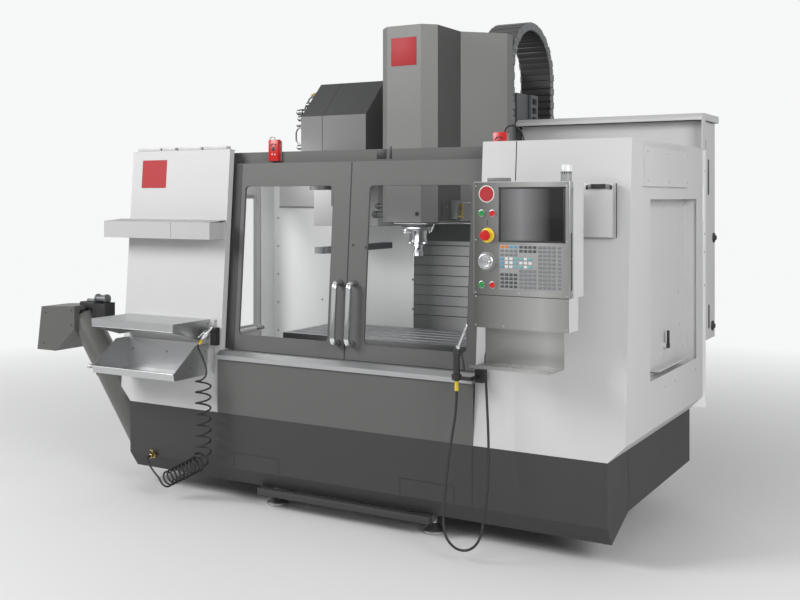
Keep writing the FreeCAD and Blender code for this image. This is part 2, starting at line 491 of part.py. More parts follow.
# ---- tool changer: cover, gearbox, carousel, double arm ----
cy, cz, low_z, top_z = SPINDLE_Y + 66, BODY_TOP + T, CAR_Z - CAR_R - 60, CAR_Z + CAR_R + 70
shell_out = [(cy, cz), (cy, cz + 187), (cy + 180, top_z), (CAR_Y + 400, top_z), (CAR_Y + 400, low_z),
             (cy + 116, low_z), (cy + 116, cz)]
shell_in = [(cy + T, cz - T), (cy + T, cz + 186), (cy + 181, top_z - T), (CAR_Y + 400 - T, top_z - T),
            (CAR_Y + 400 - T, low_z + T), (cy + 116 + T, low_z + T), (cy + 116 + T, cz - T)]
shell = prism_x(shell_out, CHG_X0, CHG_X1).cut(prism_x(shell_in, CHG_X0 + T, CHG_X1 - T))
nodes["changer_cover"] = join([shell, rod_x(CHG_X0 + 1, CHG_X0 + 208, CAR_Y, CAR_Z, AXLE_R)])
gear = V(ARM_X, SPINDLE_Y, BODY_TOP)
gearbox = join([box_at(gear, -95, 23, -69, 76, -260, -30), box_at(gear, -295, 5, -44, 182, -30, 0),
                rod_z(ARM_X - 215, SPINDLE_Y + 16, BODY_TOP - 180, BODY_TOP - 29, 55)])
gearbox = gearbox.cut(rod_z(ARM_X, SPINDLE_Y, BODY_TOP - 270, BODY_TOP - 40, ARM_SHAFT_R + PIN_GAP))
valves = []
for y, z in ((116, 40), (116, 92), (131, 144), (146, 200)):
    valves.append(box(CHG_X0 - 32, CHG_X0 - 2 * GAP, SPINDLE_Y + y, SPINDLE_Y + y + 34, BODY_TOP + z,
                      BODY_TOP + z + 30))
nodes["changer_gearbox"] = Part.Compound([gearbox] + valves)

wheel = ring((CHG_X0 + 68, CAR_Y, CAR_Z), (CHG_X0 + 98, CAR_Y, CAR_Z), CAR_R, AXLE_R + PIN_GAP)
cups = []
for i in range(POCKETS):
    a = 2 * math.pi * i / POCKETS
    y, z = CAR_Y + POCKET_PCR * math.cos(a), CAR_Z + POCKET_PCR * math.sin(a)
    mouth = rod_x(CHG_X0 + 123, CHG_X0 + 194, y, z, POCKET_R - 13)
    cups.append(rod_x(CHG_X0 + 97, CHG_X0 + 193, y, z, POCKET_R).cut(mouth))
nodes["carousel"] = wheel.multiFuse(cups)
nodes["arm_shaft"] = rod_z(ARM_X, SPINDLE_Y, ARM_Z + ARM_T + GAP, BODY_TOP - 50, ARM_SHAFT_R)

arm = join([box(ARM_X - ARM_W, ARM_X + ARM_W, SPINDLE_Y - ARM_LEN, SPINDLE_Y + ARM_LEN, ARM_Z, ARM_Z + ARM_T),
            rod_z(ARM_X, SPINDLE_Y, ARM_Z, ARM_Z + ARM_T, ARM_HUB_R),
            rod_z(ARM_X, SPINDLE_Y - ARM_LEN + 70, ARM_Z, ARM_Z + ARM_T, 26)])
bites = [rod_z(ARM_X, SPINDLE_Y + s * ARM_LEN, ARM_Z - 1, ARM_Z + ARM_T + 9, ARM_BITE) for s in (-1, 1)]
nodes["changer_arm"] = less(arm, bites)

# ---- chip auger ----
nodes["auger_tube"] = ring(AUGER_A, AUGER_B, AUGER_R, AUGER_R - T)


def chute_prism(xz, y):
    return prism_y([(AUGER_B.x + x, AUGER_B.z + z) for x, z in xz], AUGER_B.y - y, AUGER_B.y + y)


chute = chute_prism([(-235, -165), (-205, 50), (25, 62), (25, -50), (-105, -165)], 90)
mouth = chute_prism([(-231.5, -170), (-202, 47), (22, 58.8), (22, -48.5), (-105, -161), (-108, -170)], 90 - T)
nodes["auger_chute"] = less(chute, [mouth, rod(AUGER_A, AUGER_B + auger_dir * 20, AUGER_R),
                                    box_at(AUGER_B, -17, 35, -20, 20, 40, 90)])
screw = [rod(AUGER_A + auger_dir * 5, AUGER_B + auger_dir * 8, SCREW_R)]
for i in range(int(((AUGER_B - AUGER_A).Length - 40) / FLIGHT_STEP)):
    tilt = V(auger_dir.x, 0.35 if i % 2 else -0.35, auger_dir.z).normalize()
    screw.append(Part.makeCylinder(FLIGHT_R, 5, AUGER_A + auger_dir * (20 + FLIGHT_STEP * i), tilt))
nodes["auger_screw"] = join(screw)
nodes["auger_gearmotor"] = join([rod(AUGER_B + auger_dir * 9, AUGER_B + auger_dir * 36, 45),
                                 box_at(AUGER_B, 85, 175, -35, 35, 5, 78),
                                 box_at(AUGER_B, -15, 115, -20, 20, 45, 78),
                                 rod_x(AUGER_B.x + 85, AUGER_B.x + 160, AUGER_B.y, AUGER_B.z + 95, 24)])

# ---- tool rack, worktable, parts tray ----
y0, y1 = lean_y(RACK_Z0), lean_y(RACK_Z1)
rack = prism_x([(RACK_Y, RACK_Z0), (RACK_Y, RACK_Z1), (y1, RACK_Z1), (y0, RACK_Z0)], RACK_X0, RACK_X1)
rack_cuts = [prism_x([(RACK_Y + THIN, RACK_Z0 - 1), (RACK_Y + THIN, RACK_Z1 - THIN),
                      (y1 - THIN, RACK_Z1 - THIN), (y0 - THIN, RACK_Z0 - 1)], RACK_X0 + THIN, RACK_X1 - THIN)]
for i in range(RACK_SLOTS):
    x = RACK_X0 + 57 + i * RACK_PITCH
    rack_cuts.append(prism_z([(x, -30), (x + 22, -30), (x + 62, 38), (x + 40, 38)], RACK_Z1 - 5, RACK_Z1 + 5))
nodes["tool_rack"] = less(rack, rack_cuts)

back, low = lean_y(SHELF_Z - THIN), lean_y(GUSSET_Z)
gusset = [(SHELF_Y, SHELF_Z), (SHELF_Y, SHELF_Z - SHELF_LIP), (-40, GUSSET_Z), (low, GUSSET_Z), (back, SHELF_Z)]
nodes["worktable"] = join([
    box(SHELF_X0, SHELF_X1, SHELF_Y, back, SHELF_Z - THIN, SHELF_Z),
    box(SHELF_X0, SHELF_X1, SHELF_Y, SHELF_Y + THIN, SHELF_Z - SHELF_LIP, SHELF_Z),
    prism_x([(back - THIN, SHELF_Z), (back, SHELF_Z), (low, GUSSET_Z), (low - THIN, GUSSET_Z)],
            SHELF_X0, SHELF_X1),
    prism_x(gusset, SHELF_X0, SHELF_X0 + THIN), prism_x(gusset, SHELF_X1 - THIN, SHELF_X1)])

y0, y1 = lean_y(BIN_LOW), lean_y(BIN_TOP)
tray = prism_x([(BIN_Y, BIN_RIM), (BIN_Y + 6, BIN_LOW), (y0, BIN_LOW), (y1, BIN_TOP), (BIN_BACK, BIN_TOP)],
               SHELF_X0, SHELF_X1)
tray_in = prism_x([(BIN_Y - 4, BIN_RIM + THIN), (BIN_Y + 4, BIN_RIM - THIN), (BIN_Y + 10, BIN_LOW + THIN),
                   (y0 - THIN, BIN_LOW + THIN), (y1 - THIN, BIN_TOP + 8), (BIN_BACK, BIN_TOP + 8)],
                  SHELF_X0 + THIN, SHELF_X1 - THIN)
nodes["parts_tray"] = tray.cut(tray_in)

# ---- interlocks, holders and fittings ----
boxes = []
for x in (OPEN_L + 208, OPEN_R + 49):
    o = V(x, HEADER_Y, BODY_TOP)
    boxes.append(box_at(o, -33, 33, -21, 0, -57, 40).fuse(box_at(o, -12, 12, -17, -4, 40, 54)))
nodes["interlocks"] = Part.Compound(boxes)

HOOK_Z = GUN_Z + 42
holder_air = join([box(OPEN_L - 38, OPEN_L - 6, -4, lean_y(AIR_HOOK_Z - 67), AIR_HOOK_Z - 62, AIR_HOOK_Z + 16),
                   box(OPEN_L - 25, OPEN_L - 10, -48, 0, AIR_HOOK_Z, AIR_HOOK_Z + 6)])
holder_wash = join([box(OPEN_R + 8, OPEN_R + 44, -2, lean_y(620), 640, 690),
                    box(OPEN_R + 12, OPEN_R + 24, GUN_Y + 8, 5, HOOK_Z, HOOK_Z + 12),
                    box(GUN_X + 18, OPEN_R + 20, GUN_Y - 6, GUN_Y + 10, HOOK_Z, HOOK_Z + 12),
                    ring((GUN_X, GUN_Y, HOOK_Z), (GUN_X, GUN_Y, HOOK_Z + 12), 19, 13 + GAP)])
seat_y = lean_y(WASH_END.z - 14)
bulkhead = rod_y(WASH_END.x, WASH_END.y, seat_y, WASH_END.z, 9)
bulkhead = join([bulkhead, rod_y(WASH_END.x, seat_y - 8, seat_y, WASH_END.z, 14)])
air_fitting = join([rod_y(AIR_PORT.x, -34, 0, AIR_PORT.z, 8), rod_y(AIR_PORT.x, -8, 0, AIR_PORT.z, 13),
                    rod_z(AIR_PORT.x, -26, AIR_PORT.z, AIR_PORT.z + 25, 6)])
holder_clip = join([box(CLIP[0], CLIP[1], CLIP[2], lean_y(CLIP[3]), CLIP[3], CLIP[4]),
                    box(CLIP[0] + 36, CLIP[1] - 36, CLIP[2] - 7, CLIP[2] + 1, CLIP[4] - 20,
                        CLIP[4] - T)])
nodes["holders"] = Part.Compound([holder_air, holder_wash, bulkhead, air_fitting, holder_clip])


# ---- doors ----
def door(side):
    panel = box(GAP, DOOR_W - GAP, DOOR_Y0, DOOR_Y0 + DOOR_T, DOOR_Z0 + DOOR_LIFT, DOOR_Z1)
    window = round_corners(box(WIN_X0, WIN_X1, DOOR_Y0 - 1, DOOR_Y0 + 40, WIN_Z0, WIN_Z1), WIN_R, V(0, 1, 0))
    lap = (WIN_X0 - GLASS_LAP, WIN_X1 + GLASS_LAP, DOOR_Y0 + REBATE)
    rebate = box(*lap, DOOR_Y0 + 40, WIN_Z0 - GLASS_LAP, WIN_Z1 + GLASS_LAP)
    glass = box(*lap, DOOR_Y0 + REBATE + GLASS_T, WIN_Z0 - GLASS_LAP, WIN_Z1 + GLASS_LAP)
    out = DOOR_Y0 - HANDLE_REACH
    grip = [V(HANDLE_X, y, z) for y, z in ((DOOR_Y0, HANDLE_Z1), (out, HANDLE_Z1), (out, HANDLE_Z0),
                                           (DOOR_Y0, HANDLE_Z0))]
    edges, last = [], grip[0]
    for corner, after in ((grip[1], grip[2]), (grip[2], grip[3])):
        a = corner + (last - corner).normalize() * HANDLE_BEND
        b = corner + (after - corner).normalize() * HANDLE_BEND
        edges += [Part.LineSegment(last, a).toShape(), arc_to(a, corner, b)]
        last = b
    edges.append(Part.LineSegment(last, grip[3]).toShape())
    handle = join([sweep(edges, HANDLE_R), rod_y(HANDLE_X, DOOR_Y0 - 5, DOOR_Y0, HANDLE_Z1, HANDLE_FOOT),
                   rod_y(HANDLE_X, DOOR_Y0 - 5, DOOR_Y0, HANDLE_Z0, HANDLE_FOOT)])
    made = [lean(s) for s in (less(panel, [window, rebate]), glass, handle)]
    if side < 0:
        made = [s.mirror(V(0, 0, 0), V(1, 0, 0)) for s in made]
    return made


for name, side in (("left", -1), ("right", 1)):
    panel, glass, handle = door(side)
    nodes["door_" + name] = panel
    nodes["glass_" + name] = glass
    nodes["handle_" + name] = handle

# ---- pendant ----
case = box(PEND_X0, PEND_X1, PEND_Y0, PEND_Y1, PEND_SEAM, PEND_Z1)
case = case.cut(box(PEND_X0 + T, PEND_X1 - T, PEND_Y0 - 1, PEND_Y1 - T, PEND_SEAM + T, PEND_Z1 - T))
low_case = box(PEND_X0 + 2, PEND_X1 - 2, PEND_Y0, LOW_Y1, PEND_Z0, PEND_SEAM)
low_case = low_case.cut(box(PEND_X0 + 5, PEND_X1 - 5, PEND_Y0 - 1, LOW_Y1 - T, PEND_Z0 + T, PEND_SEAM - T))
barrel = join([rod_z(PIVOT_X, PIVOT_Y, HINGE_Z0, PEND_Z1, BARREL_R),
               box(PIVOT_X - BARREL_R, PIVOT_X + BARREL_R, PEND_Y1 - 1, PIVOT_Y, HINGE_Z0, PEND_Z1)])
bore = rod_z(PIVOT_X, PIVOT_Y, HINGE_Z0 - 1, PEND_Z1 + 1, PIVOT_R + PIN_GAP)
nodes["pendant_housing"] = join([case, low_case, barrel]).cut(bore)


def through_face(x, z, r):
    return rod_y(x, FACE_Y - 1, PEND_Y0 + 1, z, r + PIN_GAP)


face = box(PEND_X0 + 2, PEND_X1 - 2, FACE_Y, PEND_Y0, PEND_Z0, PEND_Z1 - 2)
openings = [box(SCREEN[0], SCREEN[1], FACE_Y - 1, PEND_Y0 + 1, SCREEN[2], SCREEN[3])]
openings += [through_face(x, z, BUTTON_R) for x, z in BTN.values()]
openings += [through_face(*ESTOP, ESTOP_STEM), through_face(*JOG, JOG_STEM)]
tool_tray = join([box(TRAY_X0, TRAY_X1, TRAY_BACK - THIN, TRAY_BACK, TRAY_Z, PEND_Z0),
                  box(TRAY_X0, TRAY_X1, TRAY_Y0, TRAY_BACK, TRAY_Z, TRAY_Z + THIN),
                  box(TRAY_X0, TRAY_X1, TRAY_Y0, TRAY_Y0 + THIN, TRAY_Z, TRAY_Z + 12),
                  box(TRAY_X0, TRAY_X1, TRAY_BACK - THIN, TRAY_BACK + 25, PEND_Z0 - THIN, PEND_Z0)])
holes = []
for i in range(11):
    for j in range(4):
        holes.append(rod_z(TRAY_X0 + 20.5 + 26 * i, TRAY_Y0 + 22 + 31 * j, TRAY_Z - 8, TRAY_Z + 7, 8))
nodes["pendant_plates"] = Part.Compound([less(face, openings), less(tool_tray, holes)])
nodes["screen"] = box(SCREEN[0] + SCREEN_GAP, SCREEN[1] - SCREEN_GAP, FACE_Y + 0.5, PEND_Y0 + 12,
                      SCREEN[2] + SCREEN_GAP, SCREEN[3] - SCREEN_GAP)

keys = [box(KEYPAD[0], KEYPAD[1], FACE_Y - 1.2, FACE_Y, KEYPAD[2], KEYPAD[3])]
for bank in range(BANKS):
    for c in range(BANK_COLUMNS):
        for r in range(KEY_ROWS):
            x, z = KEYPAD[0] + 5 + bank * KEY_BANK + c * KEY_DX, KEYPAD[3] - 19 - r * KEY_DZ
            keys.append(box(x, x + KEY, FACE_Y - 3, FACE_Y - 1, z, z + KEY))
nodes["keypad"] = join(keys)

stem_end = PEND_Y0 + STEM_IN
for name, (x, z) in BTN.items():
    nodes[name] = join([rod_y(x, FACE_Y - 2 * PRESS, FACE_Y - PRESS, z, CAP_R),
                        rod_y(x, FACE_Y - 4, stem_end, z, BUTTON_R)])
x, z = ESTOP
nodes["estop"] = join([rod_y(x, FACE_Y - 30, FACE_Y - 16, z, ESTOP_R),
                       rod_y(x, FACE_Y - 17, stem_end, z, ESTOP_STEM)])
x, z = JOG
nodes["jog_wheel"] = join([rod_y(x, FACE_Y - 16, FACE_Y - 2, z, JOG_R),
                           rod_y(x, FACE_Y - 3, stem_end, z, JOG_STEM),
                           rod_y(x + 17, FACE_Y - 28, FACE_Y - 15, z, 6)])
nodes["beacon"] = join([rod_z(*BEACON, PEND_Z1, PEND_Z1 + 12, 22),
                        rod_z(*BEACON, PEND_Z1 + 11, PEND_Z1 + 62, 20)])

# ---- guns ----
air_axis = (AIR_TIP - AIR_END).normalize()
air_up = V(-air_axis.z, 0, air_axis.x)
grip_a, grip_b = AIR_END + air_axis * 26, AIR_END + air_axis * 106
lever_a = AIR_END + air_axis * 66 + air_up * 14
lever_b = AIR_END + air_axis * 18 + air_up * 21
air_gun = [rod(AIR_END, grip_a, 7), rod(grip_a, grip_a + air_axis * 44, 10),
           rod(grip_a + air_axis * 43, grip_b, 4.5)]
for s in (-1, 1):
    ear = lever_a + V(0, s * 9.6, 0)
    air_gun.append(rod(ear - air_up * 12, ear + air_up * 3, 1.3))
nodes["air_gun"] = join(air_gun)
nodes["air_lever"] = join([rod(lever_a, lever_b, 3), rod(lever_a - V(0, 8, 0), lever_a + V(0, 8, 0), 2)])

ears = [rod_x(GUN_X + 6, GUN_X + 23, GUN_Y + s * 11, GUN_Z + 143, 1.8) for s in (-1, 1)]
lance = rod((GUN_X, GUN_Y, GUN_Z + 151), (GUN_X + 44, GUN_Y, GUN_Z + 253), 5)
nodes["wash_gun"] = join(ears + [rod_z(GUN_X, GUN_Y, GUN_Z, GUN_Z + 37, 8),
                                 rod_z(GUN_X, GUN_Y, GUN_Z + 36, GUN_Z + 159, 13),
                                 rod_z(GUN_X, GUN_Y, HOOK_Z + 12 + GAP, GUN_Z + 63, 19), lance])
nodes["wash_trigger"] = join([rod((GUN_X + 19, GUN_Y, GUN_Z + 142), (GUN_X + 32, GUN_Y, GUN_Z + 77), 4),
                              rod_y(GUN_X + 20, GUN_Y - 9, GUN_Y + 9, GUN_Z + 143, 2.5)])

# ---- washdown hose ----
wash = [V(GUN_X + x, y, z) for x, y, z in WASH_ROUTE] + [WASH_END]
nodes["wash_hose"] = free_cord(wash, WASH_R, "wash_hose")


# ---- curly air hose: straight lead, one coil that lies, bends up and hangs, straight lead ----
BEND_R = BEND_N * (LIE_PITCH + HANG_PITCH) / 2 / (math.pi / 2 - COIL_SLOPE)


def coil_point(turns):
    bent = min(max(turns - LIE_N, 0), BEND_N)
    along = LIE_PITCH * bent + (HANG_PITCH - LIE_PITCH) * bent ** 2 / (2 * BEND_N)
    slope = COIL_SLOPE + along / BEND_R
    lying = V(math.cos(COIL_SLOPE), 0, math.sin(COIL_SLOPE)) * (min(turns, LIE_N) * LIE_PITCH)
    bend = V(math.sin(slope) - math.sin(COIL_SLOPE), 0, math.cos(COIL_SLOPE) - math.cos(slope)) * BEND_R
    hanging = V(0, 0, max(turns - LIE_N - BEND_N, 0) * HANG_PITCH)
    a = 2 * math.pi * (turns + 0.5)
    radial = V(-math.sin(slope) * math.sin(a), math.cos(a), math.cos(slope) * math.sin(a)) * COIL_R
    return LIE_START + lying + bend + hanging + radial


def coil_station(turns):
    return coil_point(turns), (coil_point(turns + 0.001) - coil_point(turns - 0.001)).normalize()


port = AIR_PORT - V(0, 34, 0)
stations = [(port, V(0, -1, 0)), (port - V(0, 8, 0), V(0, -1, 0)),
            (port + V(48, -52, -22), V(0.82, -0.36, -0.44).normalize())]
stations += [coil_station(k / 4) for k in range(round(4 * (LIE_N + BEND_N + HANG_N)) + 1)]
stations += [(AIR_END + V(58, -20, -116), V(-0.3, 0.25, 0.9).normalize()),
             (AIR_END + V(34, -6, -74), V(-0.45, 0.1, 0.88).normalize()),
             (AIR_END + V(8, -1, -34), V(-0.45, 0, 0.89).normalize()),
             (AIR_END - air_axis * 8, air_axis), (AIR_END, air_axis)]
edges = []
for (p, tp), (m, tm) in zip(stations, stations[1:]):
    edges += biarc(p, tp, m, tm)
nodes["air_hose"] = sweep(edges, AIR_R)
samples, run = [], 0.0
for e in edges:
    for i in range(6):
        q = e.FirstParameter + (e.LastParameter - e.FirstParameter) * i / 6
        samples.append((run + e.Length * i / 6, e.valueAt(q)))
    run += e.Length
least = min((a - b).Length for i, (s, a) in enumerate(samples) for r, b in samples[i + 1:] if r - s > 40)
print("air_hose length", round(run), "least gap", round(least - 2 * AIR_R, 2), "volume ratio",
      volume_ratio(nodes["air_hose"], AIR_R, run))

# ---- export, with the origin under the middle of the whole ----
SHIFT = V(-(CHUTE_X0 + COVER_X1) / 2, -(TRAY_Y0 + CHAIN_BACK) / 2, 0)
for name, shape in nodes.items():
    moved = shape.copy()
    moved.translate(SHIFT)
    moved.exportStep("parts/" + name + ".step")
print(len(nodes), "nodes")
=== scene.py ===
"""Looks of a vertical machining center: finishes for its CAD nodes, and the fine pieces they carry."""

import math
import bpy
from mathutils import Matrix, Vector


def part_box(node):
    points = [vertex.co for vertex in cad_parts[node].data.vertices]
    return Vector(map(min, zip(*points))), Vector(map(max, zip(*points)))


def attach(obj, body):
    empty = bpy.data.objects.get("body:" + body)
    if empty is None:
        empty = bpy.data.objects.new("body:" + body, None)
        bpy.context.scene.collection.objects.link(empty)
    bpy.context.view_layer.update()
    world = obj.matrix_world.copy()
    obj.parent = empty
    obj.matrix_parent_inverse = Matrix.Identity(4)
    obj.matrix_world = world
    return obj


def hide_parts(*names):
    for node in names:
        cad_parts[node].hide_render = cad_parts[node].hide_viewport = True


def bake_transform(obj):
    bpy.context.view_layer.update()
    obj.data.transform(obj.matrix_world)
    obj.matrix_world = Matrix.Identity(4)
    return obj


bl_info = {
    "name": "Machining Center Dresser",
    "version": (1, 0, 0),
    "blender": (4, 5, 0),
    "location": "3D View > Sidebar > Machining Center",
    "description": "Gives a machining center its paint, steel, glass, hoses, keys and small fittings",
    "category": "Object",
}

import bmesh
import bpy
from mathutils import Matrix, Vector

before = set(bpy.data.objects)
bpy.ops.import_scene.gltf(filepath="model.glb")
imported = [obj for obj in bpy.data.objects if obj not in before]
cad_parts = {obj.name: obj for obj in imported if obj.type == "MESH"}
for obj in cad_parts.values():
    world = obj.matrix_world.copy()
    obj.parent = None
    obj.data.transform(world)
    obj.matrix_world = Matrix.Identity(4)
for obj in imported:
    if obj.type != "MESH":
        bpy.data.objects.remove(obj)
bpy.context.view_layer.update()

# ---- places shared with the solids, in metres: X across, Y to the back, Z up from the floor ----
DOOR_GAP_X, BASE_FRONT_Y = 0.298, -0.695      # the door gap and the base front, in the row frame
BASE_TOP = 0.397
LEAN = 0.075
SPINDLE_Y = 0.684
SIDE_X = 1.2125                               # outer face of the right side wall
REAR_WALL_Y = 1.180                           # front face of the rear wall
DOOR_FACE_Y = 0.035                           # front face of the doors, before they lean
DOOR_Z = (0.676, 1.497)
WINDOW_X, WINDOW_Z = (0.0885, 0.5615), (0.7405, 1.3995)
HANDLE_X, HANDLE_Z = 0.035, (0.990, 0.740)
HEAD_FRONT_Y, HEAD_FLAT_X, HEAD_SIDE_X = 0.5515, 0.0885, 0.145
HEAD_SEAM_Z = 1.470
CHANGER_X = (-0.7135, -0.3275)
FACE_Y = -0.162                               # front face of the pendant
SCREEN_X, SCREEN_Z = (0.801, 1.054), (1.184, 1.381)
DISC_X, DISC_Z = 0.753, 1.356
STOP_X, STOP_Z = 0.756, 1.207
JOG_X, JOG_Z = 0.753, 1.113
BOARD_X, BOARD_Z = (1.039, 1.165), (1.199, 1.395)
HOOD_FRONT_Y, HOOD_EDGE_Z, HOOD_RISE = 0.75, 1.75, 0.18
FITTING_X, FITTING_Y = 0.197, 0.750           # axis of the brass coolant fittings
TRAY_X = (-1.179, -0.701)
CHAIN_Y, CHAIN_Z, CHAIN_R = 1.36, 1.954, 0.256
CHAIN_X = (0.12, 0.30)
AUGER_LOW, AUGER_TOP = Vector((-1.12, 0.13, 0.11)), Vector((-1.585, 0.13, 0.75))

RIGHT, LEFT, BACK, FRONT = (1, 0, 0), (-1, 0, 0), (0, 1, 0), (0, -1, 0)
UP, DOWN = (0, 0, 1), (0, 0, -1)


def at(x, y, z):
    """A point given from the door gap and the base front, in the row frame."""
    return Vector((x + DOOR_GAP_X, y + BASE_FRONT_Y, z))


def lean_y(z):
    """How far the leaning front stands back at a height."""
    return LEAN * (z - BASE_TOP)


def leaning(x, y, z):
    """A point of an upright front part, turned back with the leaning front."""
    turn = math.atan(LEAN)
    up = z - BASE_TOP
    return at(x, y * math.cos(turn) + up * math.sin(turn),
              BASE_TOP + up * math.cos(turn) - y * math.sin(turn))


# ---- sizes and colours that a user may change ----
def tint(name, description, value):
    return bpy.props.FloatVectorProperty(name=name, description=description, subtype="COLOR", size=3,
                                         min=0.0, max=1.0, default=value)


def length(name, description, value):
    return bpy.props.FloatProperty(name=name, description=description, default=value, min=0.0, unit="LENGTH")


class CenterPaint(bpy.types.PropertyGroup):
    body: tint("Body", "Pale enclosure paint", (0.58, 0.582, 0.58))
    doors: tint("Doors", "Grey of the doors and the covers", (0.112, 0.112, 0.110))
    base: tint("Base", "Dark grey of the base", (0.044, 0.044, 0.045))
    accent: tint("Accent", "Red of the plain squares and the interlocks", (0.40, 0.020, 0.026))


class CenterSizes(bpy.types.PropertyGroup):
    wash_hose: length("Washdown hose", "Diameter of the plain hose", 0.0095)
    air_hose: length("Air hose", "Diameter of the curly hose", 0.008)
    seam: length("Seam", "Width of the dark line between two sheets", 0.003)
    screw: length("Screw", "Radius of a sheet-metal screw head", 0.005)


class CenterStage(bpy.types.PropertyGroup):
    floor: tint("Floor", "Pale studio floor", (0.80, 0.80, 0.80))
    lens: bpy.props.FloatProperty(name="Lens", description="Camera focal length", default=47.25, min=1.0,
                                  subtype="DISTANCE_CAMERA")


# ---- shader maths ----
class Socket:
    """A shader output that takes part in plain expressions."""

    def __init__(self, tree, output):
        self.tree = tree
        self.output = output

    def _math(self, operation, *values):
        return add_node(self.tree, "ShaderNodeMath", {"operation": operation}, dict(enumerate(values)))

    def __add__(self, other):
        return self._math("ADD", self, other)

    def __radd__(self, other):
        return self._math("ADD", other, self)

    def __sub__(self, other):
        return self._math("SUBTRACT", self, other)

    def __rsub__(self, other):
        return self._math("SUBTRACT", other, self)

    def __mul__(self, other):
        return self._math("MULTIPLY", self, other)

    def __rmul__(self, other):
        return self._math("MULTIPLY", other, self)

    def __abs__(self):
        return self._math("ABSOLUTE", self)


def add_node(tree, kind, settings=None, values=None, out=0):
    """A shader node with its settings first, then the values or links of its sockets."""
    made = tree.nodes.new(kind)
    for key, value in (settings or {}).items():
        setattr(made, key, value)
    for key, value in (values or {}).items():
        if isinstance(value, Socket):
            tree.links.new(value.output, made.inputs[key])
        else:
            made.inputs[key].default_value = value
    return Socket(tree, made.outputs[out])


class Finish:
    """One material and its Principled shader."""

    made = {}

    def __init__(self, name, colour, rough, metal=0.0, uniform=None):
        self.material = bpy.data.materials.new(name)
        self.material.use_nodes = True
        self.tree = self.material.node_tree
        self.shader = self.tree.nodes["Principled BSDF"]
        self.put("Base Color", (*colour, 1.0))
        self.put("Roughness", rough)
        self.put("Metallic", metal)
        for socket_name, value in (uniform or {}).items():
            self.put(socket_name, value)
        self.material.diffuse_color = (*colour, 1.0)
        Finish.made[name] = self.material

    def put(self, socket_name, value):
        if isinstance(value, Socket):
            self.tree.links.new(value.output, self.shader.inputs[socket_name])
        else:
            self.shader.inputs[socket_name].default_value = value

    def node(self, kind, settings=None, values=None, out=0):
        return add_node(self.tree, kind, settings, values, out)

    def place(self, scale=(1.0, 1.0, 1.0)):
        """Object coordinates, stretched along the axes."""
        coordinates = self.node("ShaderNodeTexCoord", out="Object")
        return self.node("ShaderNodeMapping", values={"Vector": coordinates, "Scale": scale})

    def noise(self, scale, detail=3.0, stretch=(1.0, 1.0, 1.0)):
        pattern = {"Vector": self.place(stretch), "Scale": scale, "Detail": detail}
        return self.node("ShaderNodeTexNoise", values=pattern)

    def bump(self, height, strength, distance):
        relief = {"Height": height, "Strength": strength, "Distance": distance}
        self.put("Normal", self.node("ShaderNodeBump", values=relief))

    def blend(self, low, high, factor):
        """Base colour that goes from low to high with the factor; 6 and 7 are the Mix node's colours."""
        colours = {0: factor, 6: (*low, 1.0), 7: (*high, 1.0)}
        self.put("Base Color", self.node("ShaderNodeMix", {"data_type": "RGBA"}, colours, 2))

    def shade(self, colour, factor, depth):
        """Base colour that darkens by depth as the factor rises."""
        self.blend(colour, tuple(c * (1.0 - depth) for c in colour), factor)


def powder_coat(name, colour, rough):
    """Baked paint with a faint orange peel and a slow change of tone."""
    made = Finish(name, colour, rough, uniform={"Specular IOR Level": 0.4})
    cloud = made.noise(1.7)
    grain = made.noise(520.0, 2.0)
    made.shade(colour, cloud, 0.10)
    made.put("Roughness", cloud * 0.12 + (rough - 0.06))
    made.bump(grain, 0.08, 0.0006)


def brushed(name, colour, rough, stretch):
    """Steel ground in one direction."""
    made = Finish(name, colour, rough, 1.0)
    lines = made.noise(90.0, 4.0, stretch)
    smear = made.noise(2.3)
    made.shade(colour, lines * 0.6 + smear * 0.4, 0.22)
    made.put("Roughness", lines * 0.16 + smear * 0.10 + (rough - 0.12))
    made.bump(lines, 0.05, 0.0004)


def polished(name, colour, rough):
    """Plated metal, clear enough to show what stands round it, with faint smears."""
    made = Finish(name, colour, rough, 1.0)
    made.shade(colour, made.noise(6.0), 0.10)
    made.put("Roughness", made.noise(14.0) * 0.05 + rough)


def cast(name, colour, rough):
    """Painted or bare casting with a sandy skin."""
    made = Finish(name, colour, rough, 0.4)
    sand = made.noise(240.0, 5.0)
    made.shade(colour, made.noise(4.0), 0.25)
    made.bump(sand, 0.35, 0.001)


def moulded(name, colour, rough, grain=900.0):
    """Moulded plastic or rubber with a fine grain."""
    made = Finish(name, colour, rough)
    made.shade(colour, made.noise(9.0), 0.15)
    made.bump(made.noise(grain, 2.0), 0.12, 0.0003)


def window(name, colour, alpha):
    """Clear pane, see-through by its alpha, with faint smears."""
    made = Finish(name, colour, 0.03, uniform={"Alpha": alpha, "IOR": 1.45, "Specular IOR Level": 0.25})
    made.put("Roughness", made.noise(3.0) * 0.05 + 0.015)
    made.material.surface_render_method = "BLENDED"


def painted_light_panel(name, low, high, middle, reach, rough=0.10, coat=0.6, metal=0.0):
    """A dark sheet with a soft paler upright band round the place middle: the band is painted light, a
    painted highlight.
    """
    made = Finish(name, low, rough, metal, {"Coat Weight": coat})
    across = made.node("ShaderNodeSeparateXYZ", values={"Vector": made.place()}, out="X")
    made.blend(low, high, 1.0 - abs(across - middle) * (1.0 / reach))


